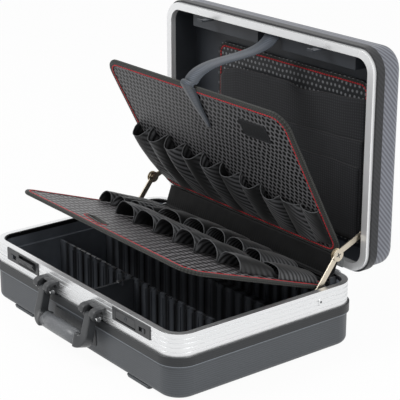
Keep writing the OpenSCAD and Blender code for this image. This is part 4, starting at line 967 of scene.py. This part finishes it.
# %% Feet
FOOT_X, FOOT_Y = 150, 146.5
pad = ((24.0, 12.0, 0.0, 3.0), (25.5, 13.6, 0.6, 3.4), (26.5, 15.0, 4.6, 3.8),
       (25.5, 11.0, 4.8, 3.4))
feet = [skin([[Vector((mid_x + u, way_y * (FOOT_Y + v), z)) for u, v, _, _ in rounded(a, b, r, 4)]
              for a, b, z, r in pad], wrap=True, caps=True)
        for mid_x in (-FOOT_X, FOOT_X) for way_y in (-1, 1)]
piece("moulded_feet", join(feet), base_abs, "base", ("base_feet",))

# %% [markdown]
# ## Elbow screws and stay pins
# Each stay folds at an elbow held by a broad screw. Its head is a low disc with a cross recess,
# wider than the pin it covers, so it is turned here as a section carried in a circle. The recess is
# not cut: a flat dark cross of painted shade lies just over the disc. The pins at the stays' feet
# have a small socket, made in the same way: a dark turned disc of painted shade in place of the
# hollow.

# %% Screw heads
ELBOW_Y, ELBOW_Z = 136, 139
RECESS_RISE = 0.0825  # just over the disc's top
STAY_PIN_Y, STAY_PIN_Z = 92.7, 83.2


def disc(x, way, y0, z0, profile, sides):
    """A turned disc that faces along x; profile gives (radius, height) from its rim inwards."""
    return skin([[Vector((x + way * up, y0 + u, z0 + v)) for u, v in circle(r, sides)]
                 for r, up in profile], wrap=True)


def screw_heads(side):
    """A disc on both faces of a stay's elbow, flush so that it clears the shut lid."""
    boxes = [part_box(f"stay_{arm_name}_{side}") for arm_name in ("upper", "lower")]
    head = ((9.2, -0.05), (9.1, 0.04), (8.0, 0.0525), (3.4, 0.05), (0.01, 0.0475))
    shells, recess_shades = [], []
    for x, way in ((max(b[1][0] for b in boxes) / MM, 1), (min(b[0][0] for b in boxes) / MM, -1)):
        shells.append(disc(x, way, ELBOW_Y, ELBOW_Z, head, 24))
        # the cross recess as two flat dark strips of painted shade
        for c, d in (turned(20), turned(110)):
            rows = [[Vector((x + way * RECESS_RISE, ELBOW_Y + u * c - v * d,
                             ELBOW_Z + u * d + v * c)) for u in (4.2, -4.2)] for v in (-0.8, 0.8)]
            recess_shades.append(skin(rows))
    piece("elbow_screw_" + side, join(shells), nickel, "upper_arm_" + side)
    piece("elbow_recess_shade_" + side, join(recess_shades), plug_steel_and_recess_shade, "upper_arm_" + side)


screw_heads("left")
screw_heads("right")
pin_low, pin_high = [Vector(corner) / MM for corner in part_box("stay_pins")]
# the pin's socket as a dark disc of painted shade in place of a hollow
socket = ((1.8, -0.2), (1.8, 0.05), (1.2, 0.02), (0.01, 0.02))
sockets = [disc(x, way, STAY_PIN_Y, STAY_PIN_Z, socket, 12)
           for x, way in ((pin_high.x, 1), (pin_low.x, -1))]
piece("stay_pin_socket_shade", join(sockets), plug_steel_and_recess_shade, "base")

# %% [markdown]
# ## Floor, light and camera
# The case stands on a white sweep. The floor is matt; for rays that come from the camera or from
# a mirror it is partly its own light, so it looks white while the case still leaves its shadow.
# Two broad area lamps and a white sky give soft studio light at a plain level.

# %% Stage
floor_mesh = bpy.data.meshes.new("floor")
floor_mesh.from_pydata([(-9, -9, 0), (9, -9, 0), (9, 9, 0), (-9, 9, 0)], [], [(0, 1, 2, 3)])
floor = bpy.data.objects.new("floor", floor_mesh)
scene.collection.objects.link(floor)
paper, tree, shader = material("white paper sweep", "#f4f4f4", 0.9)
rays = add(tree, "LightPath").outputs
seen = add(tree, "Math", {0: rays["Is Camera Ray"], 1: rays["Is Glossy Ray"]}, operation="MAXIMUM")
seen = add(tree, "Math", {0: seen, 1: rays["Is Transmission Ray"]}, operation="MAXIMUM")
share = add(tree, "Math", {0: seen, 1: 0.95}, operation="MULTIPLY")
glow = add(tree, "Emission", {"Color": grey(1), "Strength": 1.0})
mix = add(tree, "MixShader", {0: share, 1: shader, 2: glow})
feed(tree, tree.nodes["Material Output"], {"Surface": mix})
floor_mesh.materials.append(paper)

world = bpy.data.worlds.new("white sky")
scene.world = world
world.use_nodes = True
sky = world.node_tree
rays = add(sky, "LightPath").outputs
seen = add(sky, "Math", {0: rays["Is Camera Ray"], 1: rays["Is Glossy Ray"]}, operation="MAXIMUM")
level = add(sky, "MapRange", {"Value": seen, "To Min": 0.5, "To Max": 1.0})
feed(sky, sky.nodes["Background"], {"Strength": level, "Color": grey(1)})


def lamp(name, at, size, watts):
    """A square area lamp that looks at the case."""
    data = bpy.data.lights.new(name, "AREA")
    data.size, data.energy = size, watts
    made = bpy.data.objects.new(name, data)
    made.location = at
    made.rotation_euler = (Vector((0, 0, 0.15)) - made.location).to_track_quat("-Z", "Y").to_euler()
    scene.collection.objects.link(made)
    print("lamp", name, watts, "W")


lamp("key", (-0.9, -1.6, 2.2), 1.2, 34)
lamp("fill", (2.0, 0.2, 1.2), 1.2, 16)

# %% Camera and colour
camera = bpy.data.objects.new("camera", bpy.data.cameras.new("camera"))
camera.location = (1.5592, -1.1403, 0.8634)
camera.rotation_euler = Vector((-0.7475, 0.5766, -0.3299)).to_track_quat("-Z", "Y").to_euler()
camera.data.lens = 125.75
scene.collection.objects.link(camera)
scene.camera = camera
scene.view_settings.view_transform = "Standard"
print("lens", camera.data.lens, "mm")
